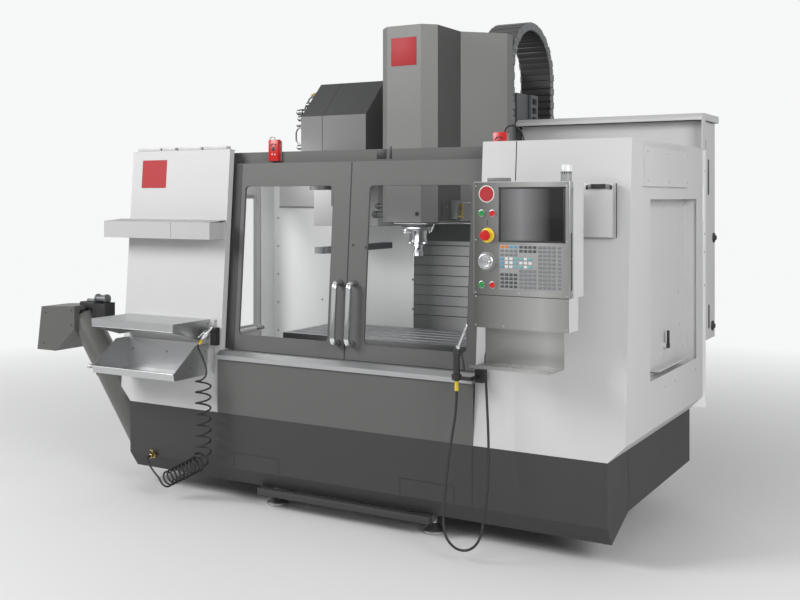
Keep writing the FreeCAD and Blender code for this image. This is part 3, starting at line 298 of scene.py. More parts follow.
# ---- mesh helpers ----
def piece(name, shape, finish, body, replaced=(), sharp=35.0):
    """Turns a bmesh, in row frame coordinates, into one named piece that rides on a body."""
    mesh = bpy.data.meshes.new(name)
    bmesh.ops.recalc_face_normals(shape, faces=shape.faces)
    shape.to_mesh(mesh)
    shape.free()
    mesh.shade_smooth()
    mesh.set_sharp_from_angle(angle=math.radians(sharp))
    made = bpy.data.objects.new(name, mesh)
    bpy.context.scene.collection.objects.link(made)
    mesh.materials.append(Finish.made[finish])
    if body:
        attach(made, body)
    if replaced:
        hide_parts(*replaced)
    return made


def add_block(shape, low, high, edge=0.0, steps=2, turn=None):
    """A box between two corners with softened edges."""
    low, high = Vector(low), Vector(high)
    size = Vector(abs(b - a) for a, b in zip(low, high))
    place = Matrix.Translation((low + high) / 2)
    if turn is not None:
        place = place @ turn
    made = bmesh.ops.create_cube(shape, size=1.0, matrix=place @ Matrix.Diagonal((*size, 1.0)))
    if edge > 0:
        edges = list({e for v in made["verts"] for e in v.link_edges})
        bmesh.ops.bevel(shape, geom=edges, offset=edge, segments=steps, profile=0.5, affect="EDGES")


def add_hexahedron(shape, places):
    """A solid with six faces, from the four corners of one side and the four across from them."""
    corners = [shape.verts.new(place) for place in places]
    for face in ((0, 1, 2, 3), (7, 6, 5, 4), (0, 4, 5, 1), (1, 5, 6, 2), (2, 6, 7, 3), (3, 7, 4, 0)):
        shape.faces.new([corners[k] for k in face])


def add_leaning(shape, low, high):
    """A box given upright that leans back with the front."""
    x0, y0, z0 = low
    x1, y1, z1 = high
    add_hexahedron(shape, [leaning(x, y, z) for y in (y0, y1)
                           for x, z in ((x0, z0), (x1, z0), (x1, z1), (x0, z1))])


def axis_frame(start, direction):
    """A matrix whose Z runs along direction, from start."""
    turn = Vector(direction).normalized().to_track_quat("Z", "Y").to_matrix().to_4x4()
    return Matrix.Translation(start) @ turn


def add_turned(shape, start, direction, profile, sides=32):
    """A turned solid: profile holds (distance along the axis, radius) pairs. One that closes has a bore."""
    place = axis_frame(start, direction)
    rings = []
    for along, radius in profile:
        if radius < 1e-6:
            rings.append([shape.verts.new(place @ Vector((0, 0, along)))])
            continue
        rings.append([shape.verts.new(place @ Vector((radius * math.cos(2 * math.pi * i / sides),
                                                      radius * math.sin(2 * math.pi * i / sides), along)))
                      for i in range(sides)])
    for first, second in zip(rings, rings[1:]):
        for i in range(sides):
            j = (i + 1) % sides
            corners = [first[i % len(first)], first[j % len(first)], second[j % len(second)],
                       second[i % len(second)]]
            unique = list(dict.fromkeys(corners))
            if len(unique) > 2:
                shape.faces.new(unique)
    for end in (rings[0], rings[-1]):
        if len(end) > 2 and profile[0] != profile[-1]:
            shape.faces.new(end)


def add_tube(shape, points, radius, sides=12):
    """A round tube along points, with closed ends."""
    rings = []
    previous = None
    for i, point in enumerate(points):
        ahead = points[min(i + 1, len(points) - 1)] - points[max(i - 1, 0)]
        ahead.normalize()
        if previous is None:
            side = ahead.orthogonal().normalized()
        else:
            side = (previous - ahead * previous.dot(ahead)).normalized()
        previous = side
        other = ahead.cross(side)
        rings.append([shape.verts.new(point + (side * math.cos(a) + other * math.sin(a)) * radius)
                      for a in (2 * math.pi * k / sides for k in range(sides))])
    for first, second in zip(rings, rings[1:]):
        for k in range(sides):
            shape.faces.new((first[k], first[(k + 1) % sides], second[(k + 1) % sides], second[k]))
    shape.faces.new(rings[0])
    shape.faces.new(rings[-1])


def rounded(points, radius, steps=8):
    """A route with its corners rounded, for bent pipes and bars."""
    route = [points[0]]
    for before, corner, after in zip(points, points[1:], points[2:]):
        back, ahead = (before - corner).normalized(), (after - corner).normalized()
        half = back.angle(ahead) / 2
        reach = min(radius / math.tan(half), 0.49 * min((before - corner).length, (after - corner).length))
        bend = reach * math.tan(half)
        centre = corner + (back + ahead).normalized() * (bend / math.sin(half))
        start, end = corner + back * reach - centre, corner + ahead * reach - centre
        for k in range(steps + 1):
            route.append(centre + start.slerp(end, k / steps) * bend)
    route.append(points[-1])
    return route


def block_piece(name, finish, body, low, high, edge=0.0, replaced=()):
    """One box as a piece of its own."""
    shape = bmesh.new()
    add_block(shape, low, high, edge)
    return piece(name, shape, finish, body, replaced)


def turned_piece(name, finish, body, start, direction, profile, sides=32, replaced=()):
    """One turned solid as a piece of its own."""
    shape = bmesh.new()
    add_turned(shape, start, direction, profile, sides)
    return piece(name, shape, finish, body, replaced)


def add_domes(shape, centres, direction, radius, height=None):
    """Screw or rivet heads."""
    height = height or radius * 0.5
    for centre in centres:
        add_turned(shape, centre, direction, [
            (0, radius), (height * 0.6, radius * 0.92), (height, radius * 0.45), (height, 0)], 14)


def spline(name, points, radius):
    """A smooth free hose: a NURBS curve with the route's points as its control points."""
    curve = bpy.data.curves.new(name, "CURVE")
    curve.dimensions = "3D"
    made = curve.splines.new("NURBS")
    made.points.add(len(points) - 1)
    for control, point in zip(made.points, points):
        control.co = (*point, 1.0)
    made.order_u = 3
    made.use_endpoint_u = True
    made.resolution_u = 10
    curve.bevel_depth = radius
    curve.bevel_resolution = 4
    curve.use_fill_caps = True
    made_object = bpy.data.objects.new(name, curve)
    bpy.context.scene.collection.objects.link(made_object)
    return made_object


# ---- which finish each CAD node wears ----
WEARS = {
    "white paint": ["front_panel_left", "front_panel_right", "side_wall_left", "side_wall_right",
                    "side_hatch", "control_cabinet", "pendant_housing"],
    "inner paint": ["rear_wall"],
    "dark paint": ["base_cover"],
    "grey paint": ["door_frame", "door_left", "door_right"],
    "head paint": ["head_cover"],
    "hood paint": ["changer_cover", "changer_gearbox"],
    "tube paint": ["auger_tube", "auger_chute"],
    "casting": ["bed_casting", "saddle", "head_casting", "column", "changer_arm"],
    "ground steel": ["arm_shaft", "auger_screw", "spindle"],
    "table iron": ["table"],
    "brushed sheet": ["worktable", "parts_tray"],
    "sill steel": ["sill"],
    "rack paint": ["tool_rack"],
    "pendant steel": ["pendant_plates"],
    "alloy": ["coolant_ring", "carousel"],
    "black plastic": ["side_latch", "auger_gearmotor", "holders", "cable_chain", "keypad", "wash_gun",
                      "wash_trigger"],
    "red plastic": ["interlocks", "button_off", "button_hold", "estop"],
    "green plastic": ["button_on", "button_start"],
    "lamp": ["beacon"],
    "clear pane": ["side_window", "glass_left", "glass_right"],
    "chrome": ["handle_left", "handle_right", "air_gun", "air_lever", "leveling_feet"],
    "screen": ["screen"],
    "rubber": ["air_hose", "wash_hose"],
    "way steel": ["way_cover"],
    "wheel alloy": ["jog_wheel"],
}


class CENTER_OT_finishes(bpy.types.Operator):
    """Make every paint, metal, plastic and glass, and give each CAD node its own"""

    bl_idname = "center.finishes"
    bl_label = "Finishes"

    def execute(self, context):
        paint = context.scene.center_paint
        powder_coat("white paint", paint.body, 0.42)
        powder_coat("inner paint", (0.86, 0.862, 0.862), 0.40)
        powder_coat("dark paint", paint.base, 0.55)
        powder_coat("grey paint", paint.doors, 0.50)
        powder_coat("head paint", (0.20, 0.20, 0.195), 0.46)
        powder_coat("hood paint", (0.17, 0.17, 0.168), 0.46)
        # edge and shade paint: real dark edges, and also the painted shadow lines of the way cover and the
        # painted shade on the table's front
        powder_coat("edge and shade paint", (0.045, 0.045, 0.045), 0.55)
        powder_coat("rack paint", (0.48, 0.48, 0.48), 0.50)
        # hood top paint: a darker copy of the hood paint, painted shade on the sloping top
        powder_coat("hood top shade paint", (0.060, 0.061, 0.062), 0.56)
        # side sheet paint: a darker copy of the head paint, painted shade on the head's straight sides
        powder_coat("side shade paint", (0.085, 0.085, 0.083), 0.56)
        powder_coat("tube paint", (0.115, 0.115, 0.11), 0.30)
        powder_coat("accent paint", paint.accent, 0.55)
        cast("casting", (0.16, 0.165, 0.17), 0.55)
        brushed("ground steel", (0.55, 0.56, 0.57), 0.30, (1.0, 12.0, 12.0))
        brushed("brushed sheet", (0.60, 0.605, 0.61), 0.34, (0.4, 9.0, 9.0))
        brushed("table iron", (0.44, 0.45, 0.465), 0.44, (1.0, 12.0, 12.0))
        brushed("dark steel", (0.24, 0.245, 0.25), 0.36, (2.0, 2.0, 2.0))
        brushed("sill steel", (0.50, 0.505, 0.51), 0.46, (0.4, 9.0, 9.0))
        # pendant steel: the paler band towards the right of the pendant face is a painted highlight
        painted_light_panel("pendant steel", (0.13, 0.13, 0.126), (0.56, 0.56, 0.55), DOOR_GAP_X + 0.965, 0.27, 0.36,
                  0.0, 1.0)
        brushed("alloy", (0.62, 0.63, 0.64), 0.36, (6.0, 6.0, 1.0))
        brushed("wheel alloy", (0.66, 0.67, 0.68), 0.26, (8.0, 1.0, 8.0))
        brushed("brass", (0.72, 0.55, 0.22), 0.26, (4.0, 4.0, 4.0))
        polished("chrome", (0.80, 0.81, 0.82), 0.06)
        brushed("zinc", (0.50, 0.51, 0.50), 0.36, (2.0, 2.0, 2.0))
        moulded("black plastic", (0.022, 0.022, 0.023), 0.48)
        moulded("rubber", (0.017, 0.017, 0.017), 0.55, 600.0)
        moulded("red plastic", (0.55, 0.012, 0.012), 0.28)
        moulded("green plastic", (0.02, 0.26, 0.06), 0.28)
        moulded("yellow plastic", (0.80, 0.60, 0.03), 0.32)
        moulded("orange key", (0.72, 0.20, 0.02), 0.35)
        moulded("blue key", (0.10, 0.30, 0.46), 0.40)
        moulded("teal key", (0.16, 0.42, 0.42), 0.40)
        moulded("white key", (0.70, 0.71, 0.71), 0.40)
        moulded("grey key", (0.19, 0.195, 0.20), 0.42)
        moulded("dark key", (0.07, 0.07, 0.075), 0.42)
        moulded("chain band", (0.060, 0.060, 0.062), 0.42)
        moulded("keypad film", (0.31, 0.315, 0.315), 0.40)
        moulded("lamp", (0.72, 0.74, 0.74), 0.22, 300.0)
        window("clear pane", (0.10, 0.115, 0.115), 0.05)
        # screen: the paler band across the dark screen is a painted reflection
        painted_light_panel("screen", (0.003, 0.003, 0.003), (0.20, 0.20, 0.205), DOOR_GAP_X + 0.885, 0.115)
        # way steel: the paler band is painted light, and the darker rest of the way cover is painted shade
        painted_light_panel("way steel", (0.11, 0.11, 0.112), (0.72, 0.725, 0.73), DOOR_GAP_X + 0.16, 0.36, 0.45, 0.0)
        for finish, names in WEARS.items():
            for name in names:
                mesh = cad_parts[name].data
                mesh.materials.clear()
                mesh.materials.append(Finish.made[finish])
        return {"FINISHED"}


class CENTER_OT_base(bpy.types.Operator):
    """Seams, access cover lines, turned leveling feet and front rail of the base"""

    bl_idname = "center.base"
    bl_label = "Base"

    def execute(self, context):
        seam = context.scene.center_sizes.seam
        lines = bmesh.new()
        proud, low, high, cover_top = 0.0006, 0.166, 0.396, 0.230
        add_block(lines, at(0.614, -proud, low), at(0.614 + seam, 0.001, high))
        for left, right in ((-0.539, -0.298), (0.296, 0.536)):
            for x in (left, right):
                add_block(lines, at(x, -proud, low), at(x + seam, 0.001, cover_top + 0.002))
            add_block(lines, at(left, -proud, cover_top), at(right + seam, 0.001, cover_top + seam))
        for side in (-1, 1):
            inner, outer = sorted((side * 1.149, side * (1.15 + proud)))
            add_block(lines, at(inner, 0.238, 0.17), at(outer, 0.238 + seam, high))
        piece("base_seams", lines, "black plastic", "frame")
        feet = bmesh.new()
        low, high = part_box("leveling_feet")
        reach = 0.048
        for x in (low.x + reach, high.x - reach):
            for y in (low.y + reach, high.y - reach):
                add_turned(feet, Vector((x, y, 0)), UP, [
                    (0, 0.044), (0.002, 0.048), (0.012, 0.048), (0.015, 0.045), (0.020, 0.036),
                    (0.036, 0.018), (0.039, 0.012), (0.060, 0.012)])
                add_turned(feet, Vector((x, y, 0.072)), UP, [
                    (0, 0.017), (0.002, 0.019), (0.016, 0.019), (0.018, 0.017)], 6)
                add_turned(feet, Vector((x, y, 0.055)), UP,
                           [(0.0025 * k, 0.0122 if k % 2 else 0.0108) for k in range(21)], 20)
        piece("feet_turned", feet, "zinc", "frame", ["leveling_feet"])
        block_piece("front_rail", "edge and shade paint", "frame", at(-0.4206, 0.0114, 0.0614),
                    at(0.4206, 0.0456, 0.0906), 0.0015)
        return {"FINISHED"}


class CENTER_OT_enclosure(bpy.types.Operator):
    """Panel seam, red square, top blocks and side screws of the enclosure"""

    bl_idname = "center.enclosure"
    bl_label = "Enclosure"

    def execute(self, context):
        sizes = context.scene.center_sizes
        seam = sizes.seam
        lines = bmesh.new()
        x, low, run, steps = 0.7605, 1.406, 0.152, 12
        for k in range(steps):
            z0, z1 = low + run * k / steps, low + run * (k + 1) / steps
            add_block(lines, at(x, lean_y((z0 + z1) / 2) - 0.0009, z0), at(x + seam, lean_y(z1) + 0.002, z1))
        piece("panel_seam", lines, "black plastic", "frame")
        square = bmesh.new()
        add_leaning(square, (-1.150, -0.0012, 1.390), (-1.000, 0.0002, 1.520))
        piece("red_square", square, "accent paint", "frame")
        blocks = bmesh.new()
        for left, right in ((-1.190, -1.050), (-1.040, -0.960), (-0.940, -0.805), (-0.790, -0.655)):
            add_block(blocks, at(left, 0.092, 1.560), at(right, 0.124, 1.574), 0.002)
        piece("panel_top_blocks", blocks, "white paint", "frame")
        screws = bmesh.new()
        cover = [(y, z) for z in (1.405, 1.515) for y in (0.24, 0.52, 0.80)]
        add_domes(screws, [at(1.224, y, z) for y, z in cover], RIGHT, sizes.screw)
        edge = [(0.335, 0.67), (0.655, 0.60), (0.975, 0.60), (0.50, 0.60)]
        add_domes(screws, [at(SIDE_X, y, z) for y, z in edge], RIGHT, sizes.screw)
        add_domes(screws, [at(1.209, 1.15, z) for z in (0.95, 1.10, 1.18, 1.46)], RIGHT, sizes.screw)
        plate_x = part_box("side_hatch")[1].x - 0.052
        ring = [(y, z) for y in (0.335, 0.66, 0.975) for z in (0.70, 1.31)]
        add_domes(screws, [Vector((plate_x, y + BASE_FRONT_Y, z)) for y, z in ring], RIGHT, sizes.screw)
        piece("side_screws", screws, "chrome", "frame")
        return {"FINISHED"}


class CENTER_OT_inside(bpy.types.Operator):
    """Rivets, rear sheets, changer guard and window pipe inside the enclosure"""

    bl_idname = "center.inside"
    bl_label = "Inside"

    def execute(self, context):
        sizes = context.scene.center_sizes
        rivets = bmesh.new()
        spots = [(-1.175, 0.595 + 0.158 * k) for k in range(5)] + [(-0.875, 0.782), (0.875, 0.782)]
        add_domes(rivets, [at(x, REAR_WALL_Y, z) for x, z in spots], FRONT, sizes.screw)
        piece("inner_rivets", rivets, "grey paint", "frame")
        guard = bmesh.new()
        left, right, front, rear, low, high = *CHANGER_X, 0.8640, 1.165, 1.198, 1.500
        add_block(guard, at(left, front, low), at(right, front + 0.0015, high), 0.0004)
        add_block(guard, at(right - 0.001, front, low), at(right + 0.0007, rear, high), 0.0004)
        add_block(guard, at(left, front, low - 0.0005), at(right + 0.0007, rear, low + 0.0015), 0.0004)
        piece("changer_guard", guard, "rack paint", "frame")
        left, right, low, back = -1.160, -0.7140, 1.292, REAR_WALL_Y + 0.0002
        block_piece("upper_rear_sheet", "white paint", "frame",
                    at(left, REAR_WALL_Y - 0.010, low), at(right, back, high), 0.001)
        # A dark strip under the lower edge of the upper rear sheet: painted shadow. The two plugs in the
        # same piece are real.
        shade = bmesh.new()
        add_block(shade, at(left, REAR_WALL_Y - 0.011, low - 0.006), at(right, back, low))
        for z in (0.760, 0.914):
            plug = [(0, 0.006), (0.004, 0.006), (0.004, 0)]
            add_turned(shade, at(-0.3045, REAR_WALL_Y + 0.0005, z), FRONT, plug, 16)
        piece("rear_edge_shadow_and_plugs", shade, "grey key", "frame")
        sill_pipe, valve = bmesh.new(), bmesh.new()
        add_tube(sill_pipe, [at(-1.156, 0.300, 0.618), at(-1.156, 1.010, 0.632)], 0.012, 16)
        for y in (0.955, 0.988):
            add_turned(valve, at(-1.150, y, 0.634), RIGHT, [
                (0, 0.010), (0.012, 0.010), (0.014, 0.007), (0.020, 0.007), (0.021, 0.004)], 16)
        piece("side_sill_pipe", sill_pipe, "white paint", "frame")
        piece("side_sill_valve", valve, "dark steel", "frame")
        return {"FINISHED"}


class CENTER_OT_interlocks(bpy.types.Operator):
    """Header plates and the two interlock boxes with their holders and leads"""

    bl_idname = "center.interlocks"
    bl_label = "Interlocks"

    def execute(self, context):
        header = bmesh.new()
        add_block(header, at(0.100, 0.1488, 1.504), at(0.147, 0.1502, 1.545), 0.0003)
        add_block(header, at(0.1620, 0.1488, 1.504), at(0.1725, 0.1502, 1.556), 0.0003)
        piece("header_plates", header, "black plastic", "frame")
        boxes = bmesh.new()
        cables = bmesh.new()
        holders = bmesh.new()
        for x in (-0.422, 0.669):
            add_block(boxes, at(x - 0.0275, 0.129, 1.503), at(x + 0.0275, 0.150, 1.598), 0.003)
            add_block(holders, at(x - 0.033, 0.146, 1.503), at(x + 0.033, 0.1505, 1.592), 0.001)
            add_domes(holders, [at(x + dx, 0.129, 1.532) for dx in (-0.006, 0.010)], FRONT, 0.0035, 0.0015)
            add_block(cables, at(x - 0.007, 0.1283, 1.549), at(x + 0.007, 0.1295, 1.566), 0.0005)
            arc = [at(x + 0.016 * math.cos(a), 0.1290, 1.569 + 0.010 * math.sin(a))
                   for a in (math.pi * k / 8 for k in range(9))]
            add_tube(cables, arc, 0.0022, 8)
        ring = [at(-0.434 + 0.015 * math.cos(a), 0.140, 1.596 + 0.015 * math.sin(a))
                for a in (math.pi * k / 10 for k in range(11))]
        add_tube(holders, ring, 0.0022, 8)
        loop = [at(0.686, 0.142, 1.594), at(0.694, 0.142, 1.618), at(0.725, 0.150, 1.626),
                at(0.752, 0.160, 1.598), at(0.762, 0.165, 1.552)]
        add_tube(cables, rounded(loop, 0.022), 0.0035)
        piece("interlock_holders", holders, "zinc", "frame")
        piece("interlock_boxes", boxes, "red plastic", "frame", ["interlocks"])
        piece("interlock_leads", cables, "black plastic", "frame")
        return {"FINISHED"}


class CENTER_OT_cabinet(bpy.types.Operator):
    """Vents, latches, door plate and switch of the control cabinet"""

    bl_idname = "center.cabinet"
    bl_label = "Control cabinet"

    def execute(self, context):
        vents = bmesh.new()
        for y, z0, z1 in ((1.285, 1.355, 1.518), (1.295, 0.739, 0.848), (1.227, 1.564, 1.606)):
            add_block(vents, at(1.1895, y, z0), at(1.1912, y + 0.022, z1), 0.0006)
        for y, z in ((1.395, 1.155), (1.370, 0.745)):
            add_turned(vents, at(1.1895, y, z), RIGHT, [
                (0, 0.024), (0.006, 0.022), (0.008, 0.012), (0.014, 0.010), (0.014, 0)], 24)
        slots, first_z, step, height = 12, 0.80, 0.03, 0.010
        for k in range(slots):
            z = first_z + step * k
            add_block(vents, at(0.45, 1.4225, z), at(1.05, 1.4245, z + height), 0.0008)
        piece("cabinet_vents", vents, "black plastic", "frame")
        block_piece("cabinet_door", "white paint", "frame", at(0.33, 1.4195, 0.72),
                    at(1.17, 1.4235, 1.67), 0.002)
        turned_piece("cabinet_switch", "red plastic", "frame", at(1.08, 1.4235, 1.35), BACK, [
            (0, 0.032), (0.004, 0.032), (0.005, 0.018), (0.014, 0.016), (0.016, 0.012), (0.016, 0)])
        return {"FINISHED"}


class CENTER_OT_rear(bpy.types.Operator):
    """Plain rear covers with their screws, and the air inlet"""

    bl_idname = "center.rear"
    bl_label = "Rear"

    def execute(self, context):
        sizes = context.scene.center_sizes
        covers, cover_screws = bmesh.new(), bmesh.new()
        inset = 0.015
        for x0, x1, y, z0, z1 in ((-0.13, 0.13, 1.560, 0.62, 1.02), (-0.13, 0.13, 1.560, 1.10, 1.50),
                                  (-0.66, -0.38, 1.600, 1.30, 1.80)):
            add_block(covers, at(x0, y - 0.001, z0), at(x1, y + 0.002, z1), 0.001)
            spots = [at(x, y + 0.002, z) for x in (x0 + inset, x1 - inset)
                     for z in (z0 + inset, (z0 + z1) / 2, z1 - inset)]
            add_domes(cover_screws, spots, BACK, sizes.screw)
        piece("rear_covers", covers, "grey paint", "frame")
        piece("rear_cover_screws", cover_screws, "zinc", "frame")
        inlet, gland = bmesh.new(), bmesh.new()
        low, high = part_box("control_cabinet")
        x, y = high.x - 0.030, low.y + 0.075
        add_turned(inlet, Vector((x, y, low.z + 0.001)), DOWN, [
            (0, 0.013), (0.014, 0.013), (0.016, 0.009), (0.044, 0.009)], 6)
        add_turned(gland, Vector((x, y, low.z - 0.042)), DOWN, [
            (0, 0.011), (0.004, 0.014), (0.050, 0.013), (0.064, 0.008), (0.064, 0)], 20)
        piece("air_inlet", inlet, "brass", "frame")
        piece("air_inlet_gland", gland, "red plastic", "frame")
        return {"FINISHED"}


class CENTER_OT_doors(bpy.types.Operator):
    """Window seals, edges, plugs and bent chrome handles of the sliding doors"""

    bl_idname = "center.doors"
    bl_label = "Doors"

    def execute(self, context):
        top, bottom = HANDLE_Z
        for name, side in (("left", -1), ("right", 1)):
            body = f"door_{name}_body"
            grip = bmesh.new()
            x = side * HANDLE_X
            route = [leaning(x, y, z) for y, z in ((DOOR_FACE_Y, top), (-0.010, top), (-0.010, bottom),
                                                   (DOOR_FACE_Y, bottom))]
            add_tube(grip, rounded(route, 0.028, 10), 0.0125, 24)
            feet = bmesh.new()
            for z in HANDLE_Z:
                add_turned(feet, leaning(x, DOOR_FACE_Y, z), FRONT, [
                    (0, 0.0135), (0.003, 0.0135), (0.005, 0.0115), (0.005, 0.0100)], 24)
            piece(f"handle_feet_{name}", feet, "black plastic", body)
            piece(f"handle_bar_{name}", grip, "chrome", body, [f"handle_{name}"])
            seal = bmesh.new()
            x0, x1 = sorted(side * edge for edge in WINDOW_X)
            z0, z1 = WINDOW_Z
            corners = [leaning(x, DOOR_FACE_Y + 0.0002, z)
                       for x, z in ((x1, z0), (x1, z1), (x0, z1), (x0, z0))]
            middle = (corners[3] + corners[0]) / 2
            loop = rounded([middle, *corners, middle], 0.020, 6)
            add_tube(seal, loop, 0.0010, 8)
            piece(f"window_seal_{name}", seal, "grey paint", body)
        low, high = DOOR_Z
        for name, side in (("left", -1), ("right", 1)):
            flange = bmesh.new()
            x0, x1 = sorted((side * 0.640, side * 0.6195))
            add_leaning(flange, (x0, 0.0355, low), (x1, 0.0400, high))
            if side < 0:
                add_leaning(flange, (-0.6195, 0.0340, low), (-0.582, 0.0352, high))
            piece(f"door_edge_{name}", flange, "edge and shade paint", f"door_{name}_body")
        strip = bmesh.new()
        add_leaning(strip, (-0.0042, 0.0338, low), (-0.0003, 0.0370, high + 0.002))
        piece("door_meeting_strip", strip, "rubber", "door_left_body")
        plugs = bmesh.new()
        for x, z in ((0.020, 1.149), (0.083, 1.141)):
            add_turned(plugs, leaning(x, DOOR_FACE_Y, z), FRONT,
                       [(0, 0.005), (0.0012, 0.005), (0.0012, 0)], 20)
        piece("door_plugs", plugs, "rubber", "door_right_body")
        return {"FINISHED"}


class CENTER_OT_head(bpy.types.Operator):
    """Red plate, dark side sheets as painted shade on the straight sides, seams, plug and screws of the head
    cover
    """

    bl_idname = "center.head"
    bl_label = "Head"

    def execute(self, context):
        sizes = context.scene.center_sizes
        block_piece("head_badge", "accent paint", "head_body",
                    at(-0.066, HEAD_FRONT_Y - 0.0015, 1.944), at(0.066, HEAD_FRONT_Y + 0.0002, 2.072),
                    0.0005)
        # The straight sides of the head wear a darker copy of its paint: painted shade.
        sheets = bmesh.new()
        for side in (-1, 1):
            inner, outer = sorted((side * (HEAD_SIDE_X - 0.0010), side * (HEAD_SIDE_X + 0.0003)))
            add_block(sheets, at(inner, 0.610, 1.236), at(outer, 0.838, 2.126))
        piece("head_side_shade_sheets", sheets, "side shade paint", "head_body")
        seams = bmesh.new()
        low, high = HEAD_SEAM_Z, HEAD_SEAM_Z + sizes.seam
        add_block(seams, at(-HEAD_FLAT_X, HEAD_FRONT_Y - 0.0007, low),
                  at(HEAD_FLAT_X, HEAD_FRONT_Y + 0.0002, high))
        for side in (-1, 1):
            inner, outer = sorted((side * (HEAD_SIDE_X - 0.0002), side * (HEAD_SIDE_X + 0.0006)))
            add_block(seams, at(inner, 0.608, low), at(outer, 0.840, high))
        piece("head_seams", seams, "black plastic", "head_body")
        plug = bmesh.new()
        add_turned(plug, at(0.069, HEAD_FRONT_Y, 1.2685), FRONT, [
            (0, 0.0105), (0.0015, 0.0105), (0.0015, 0.0075), (0.0005, 0.0070), (0.0005, 0)], 32)
        add_block(plug, at(0.1449, 0.642, 1.250), at(0.1462, 0.650, 1.327), 0.0004)
        piece("head_plug", plug, "black plastic", "head_body")
        screws = bmesh.new()
        spots = ((0.700, 1.300), (0.770, 1.282), (0.790, 1.420), (0.815, 1.262))
        add_domes(screws, [at(HEAD_SIDE_X, y, z) for y, z in spots], RIGHT, 0.003)
        piece("head_screws", screws, "zinc", "head_body")
        return {"FINISHED"}


class CENTER_OT_coolant(bpy.types.Operator):
    """Coolant collar with its nozzles, pipes and fittings"""

    bl_idname = "center.coolant"
    bl_label = "Coolant"

    def execute(self, context):
        ring = bmesh.new()
        centre = at(0, SPINDLE_Y, 1.2095)
        add_turned(ring, centre, DOWN, [
            (0, 0.049), (0, 0.078), (0.004, 0.080), (0.012, 0.078), (0.018, 0.070), (0.0195, 0.060),
            (0.0195, 0.049)], 48)
        nozzles = bmesh.new()
        for a in map(math.radians, (60, 105, 150, 180, 210, 240)):
            out = Vector((math.cos(a), math.sin(a), 0))
            top = centre + out * 0.066 + Vector((0, 0, -0.0155))
            aim = (Vector(DOWN) - out * 0.18).normalized()
            add_turned(nozzles, top, aim, [
                (-0.004, 0.009), (0.003, 0.009), (0.004, 0.007), (0.010, 0.0075), (0.012, 0.005),
                (0.018, 0.0035), (0.018, 0.0020)], 16)
        piece("coolant_collar", ring, "alloy", "head_body", ["coolant_ring"])
        piece("coolant_nozzles", nozzles, "chrome", "head_body")
        brass = bmesh.new()
        pipes = bmesh.new()
        block_piece("coolant_manifold", "grey key", "head_body", at(0.1445, 0.735, 1.243),
                    at(0.180, 0.765, 1.329), 0.002)
        for z0, z1 in ((1.250, 1.262), (1.268, 1.292), (1.298, 1.312)):
            add_turned(brass, at(FITTING_X, FITTING_Y, z0), UP, [
                (0, 0.0085), (0.001, 0.0100), (z1 - z0 - 0.001, 0.0100), (z1 - z0, 0.0085)], 6)
        add_turned(brass, at(FITTING_X, FITTING_Y, 1.247), UP, [(0, 0.0058), (0.070, 0.0058)], 20)
        for z in (1.256, 1.305):
            add_turned(brass, at(0.178, FITTING_Y, z), RIGHT, [(0, 0.0065), (0.018, 0.0065)], 20)
        out, over, under = 0.2510, 1.3190, 1.2235
        upper = [at(FITTING_X, FITTING_Y, 1.308), at(FITTING_X, FITTING_Y, over), at(out, FITTING_Y, over),
                 at(out, FITTING_Y, under), at(0.1980, 0.735, under)]
        lower = [at(x, y, under + 0.0005)
                 for x, y in ((-0.075, 0.596), (0.090, 0.596), (0.150, 0.655), (0.2050, 0.735))]
        add_tube(pipes, rounded(upper, 0.014), 0.0036, 12)
        add_tube(pipes, rounded(lower, 0.020), 0.0040, 12)
        add_tube(pipes, [
            at(0.118, 0.628, 1.222), at(0.106, 0.632, 1.205), at(0.098, 0.635, 1.186)], 0.0030, 10)
        piece("coolant_fittings", brass, "brass", "head_body")
        piece("coolant_pipes", pipes, "zinc", "head_body")
        side_fittings = bmesh.new()
        for y, z, r, out in ((0.640, 1.302, 0.011, 0.060), (0.640, 1.262, 0.014, 0.078),
                             (0.690, 1.275, 0.012, 0.050)):
            add_turned(side_fittings, at(-0.1445, y, z), LEFT, [
                (0, r * 1.3), (out * 0.18, r * 1.3), (out * 0.2, r), (out * 0.6, r), (out * 0.64, r * 1.25),
                (out * 0.86, r * 1.25), (out, r * 0.7)], 20)
        piece("head_side_fittings", side_fittings, "dark key", "head_body")
        return {"FINISHED"}


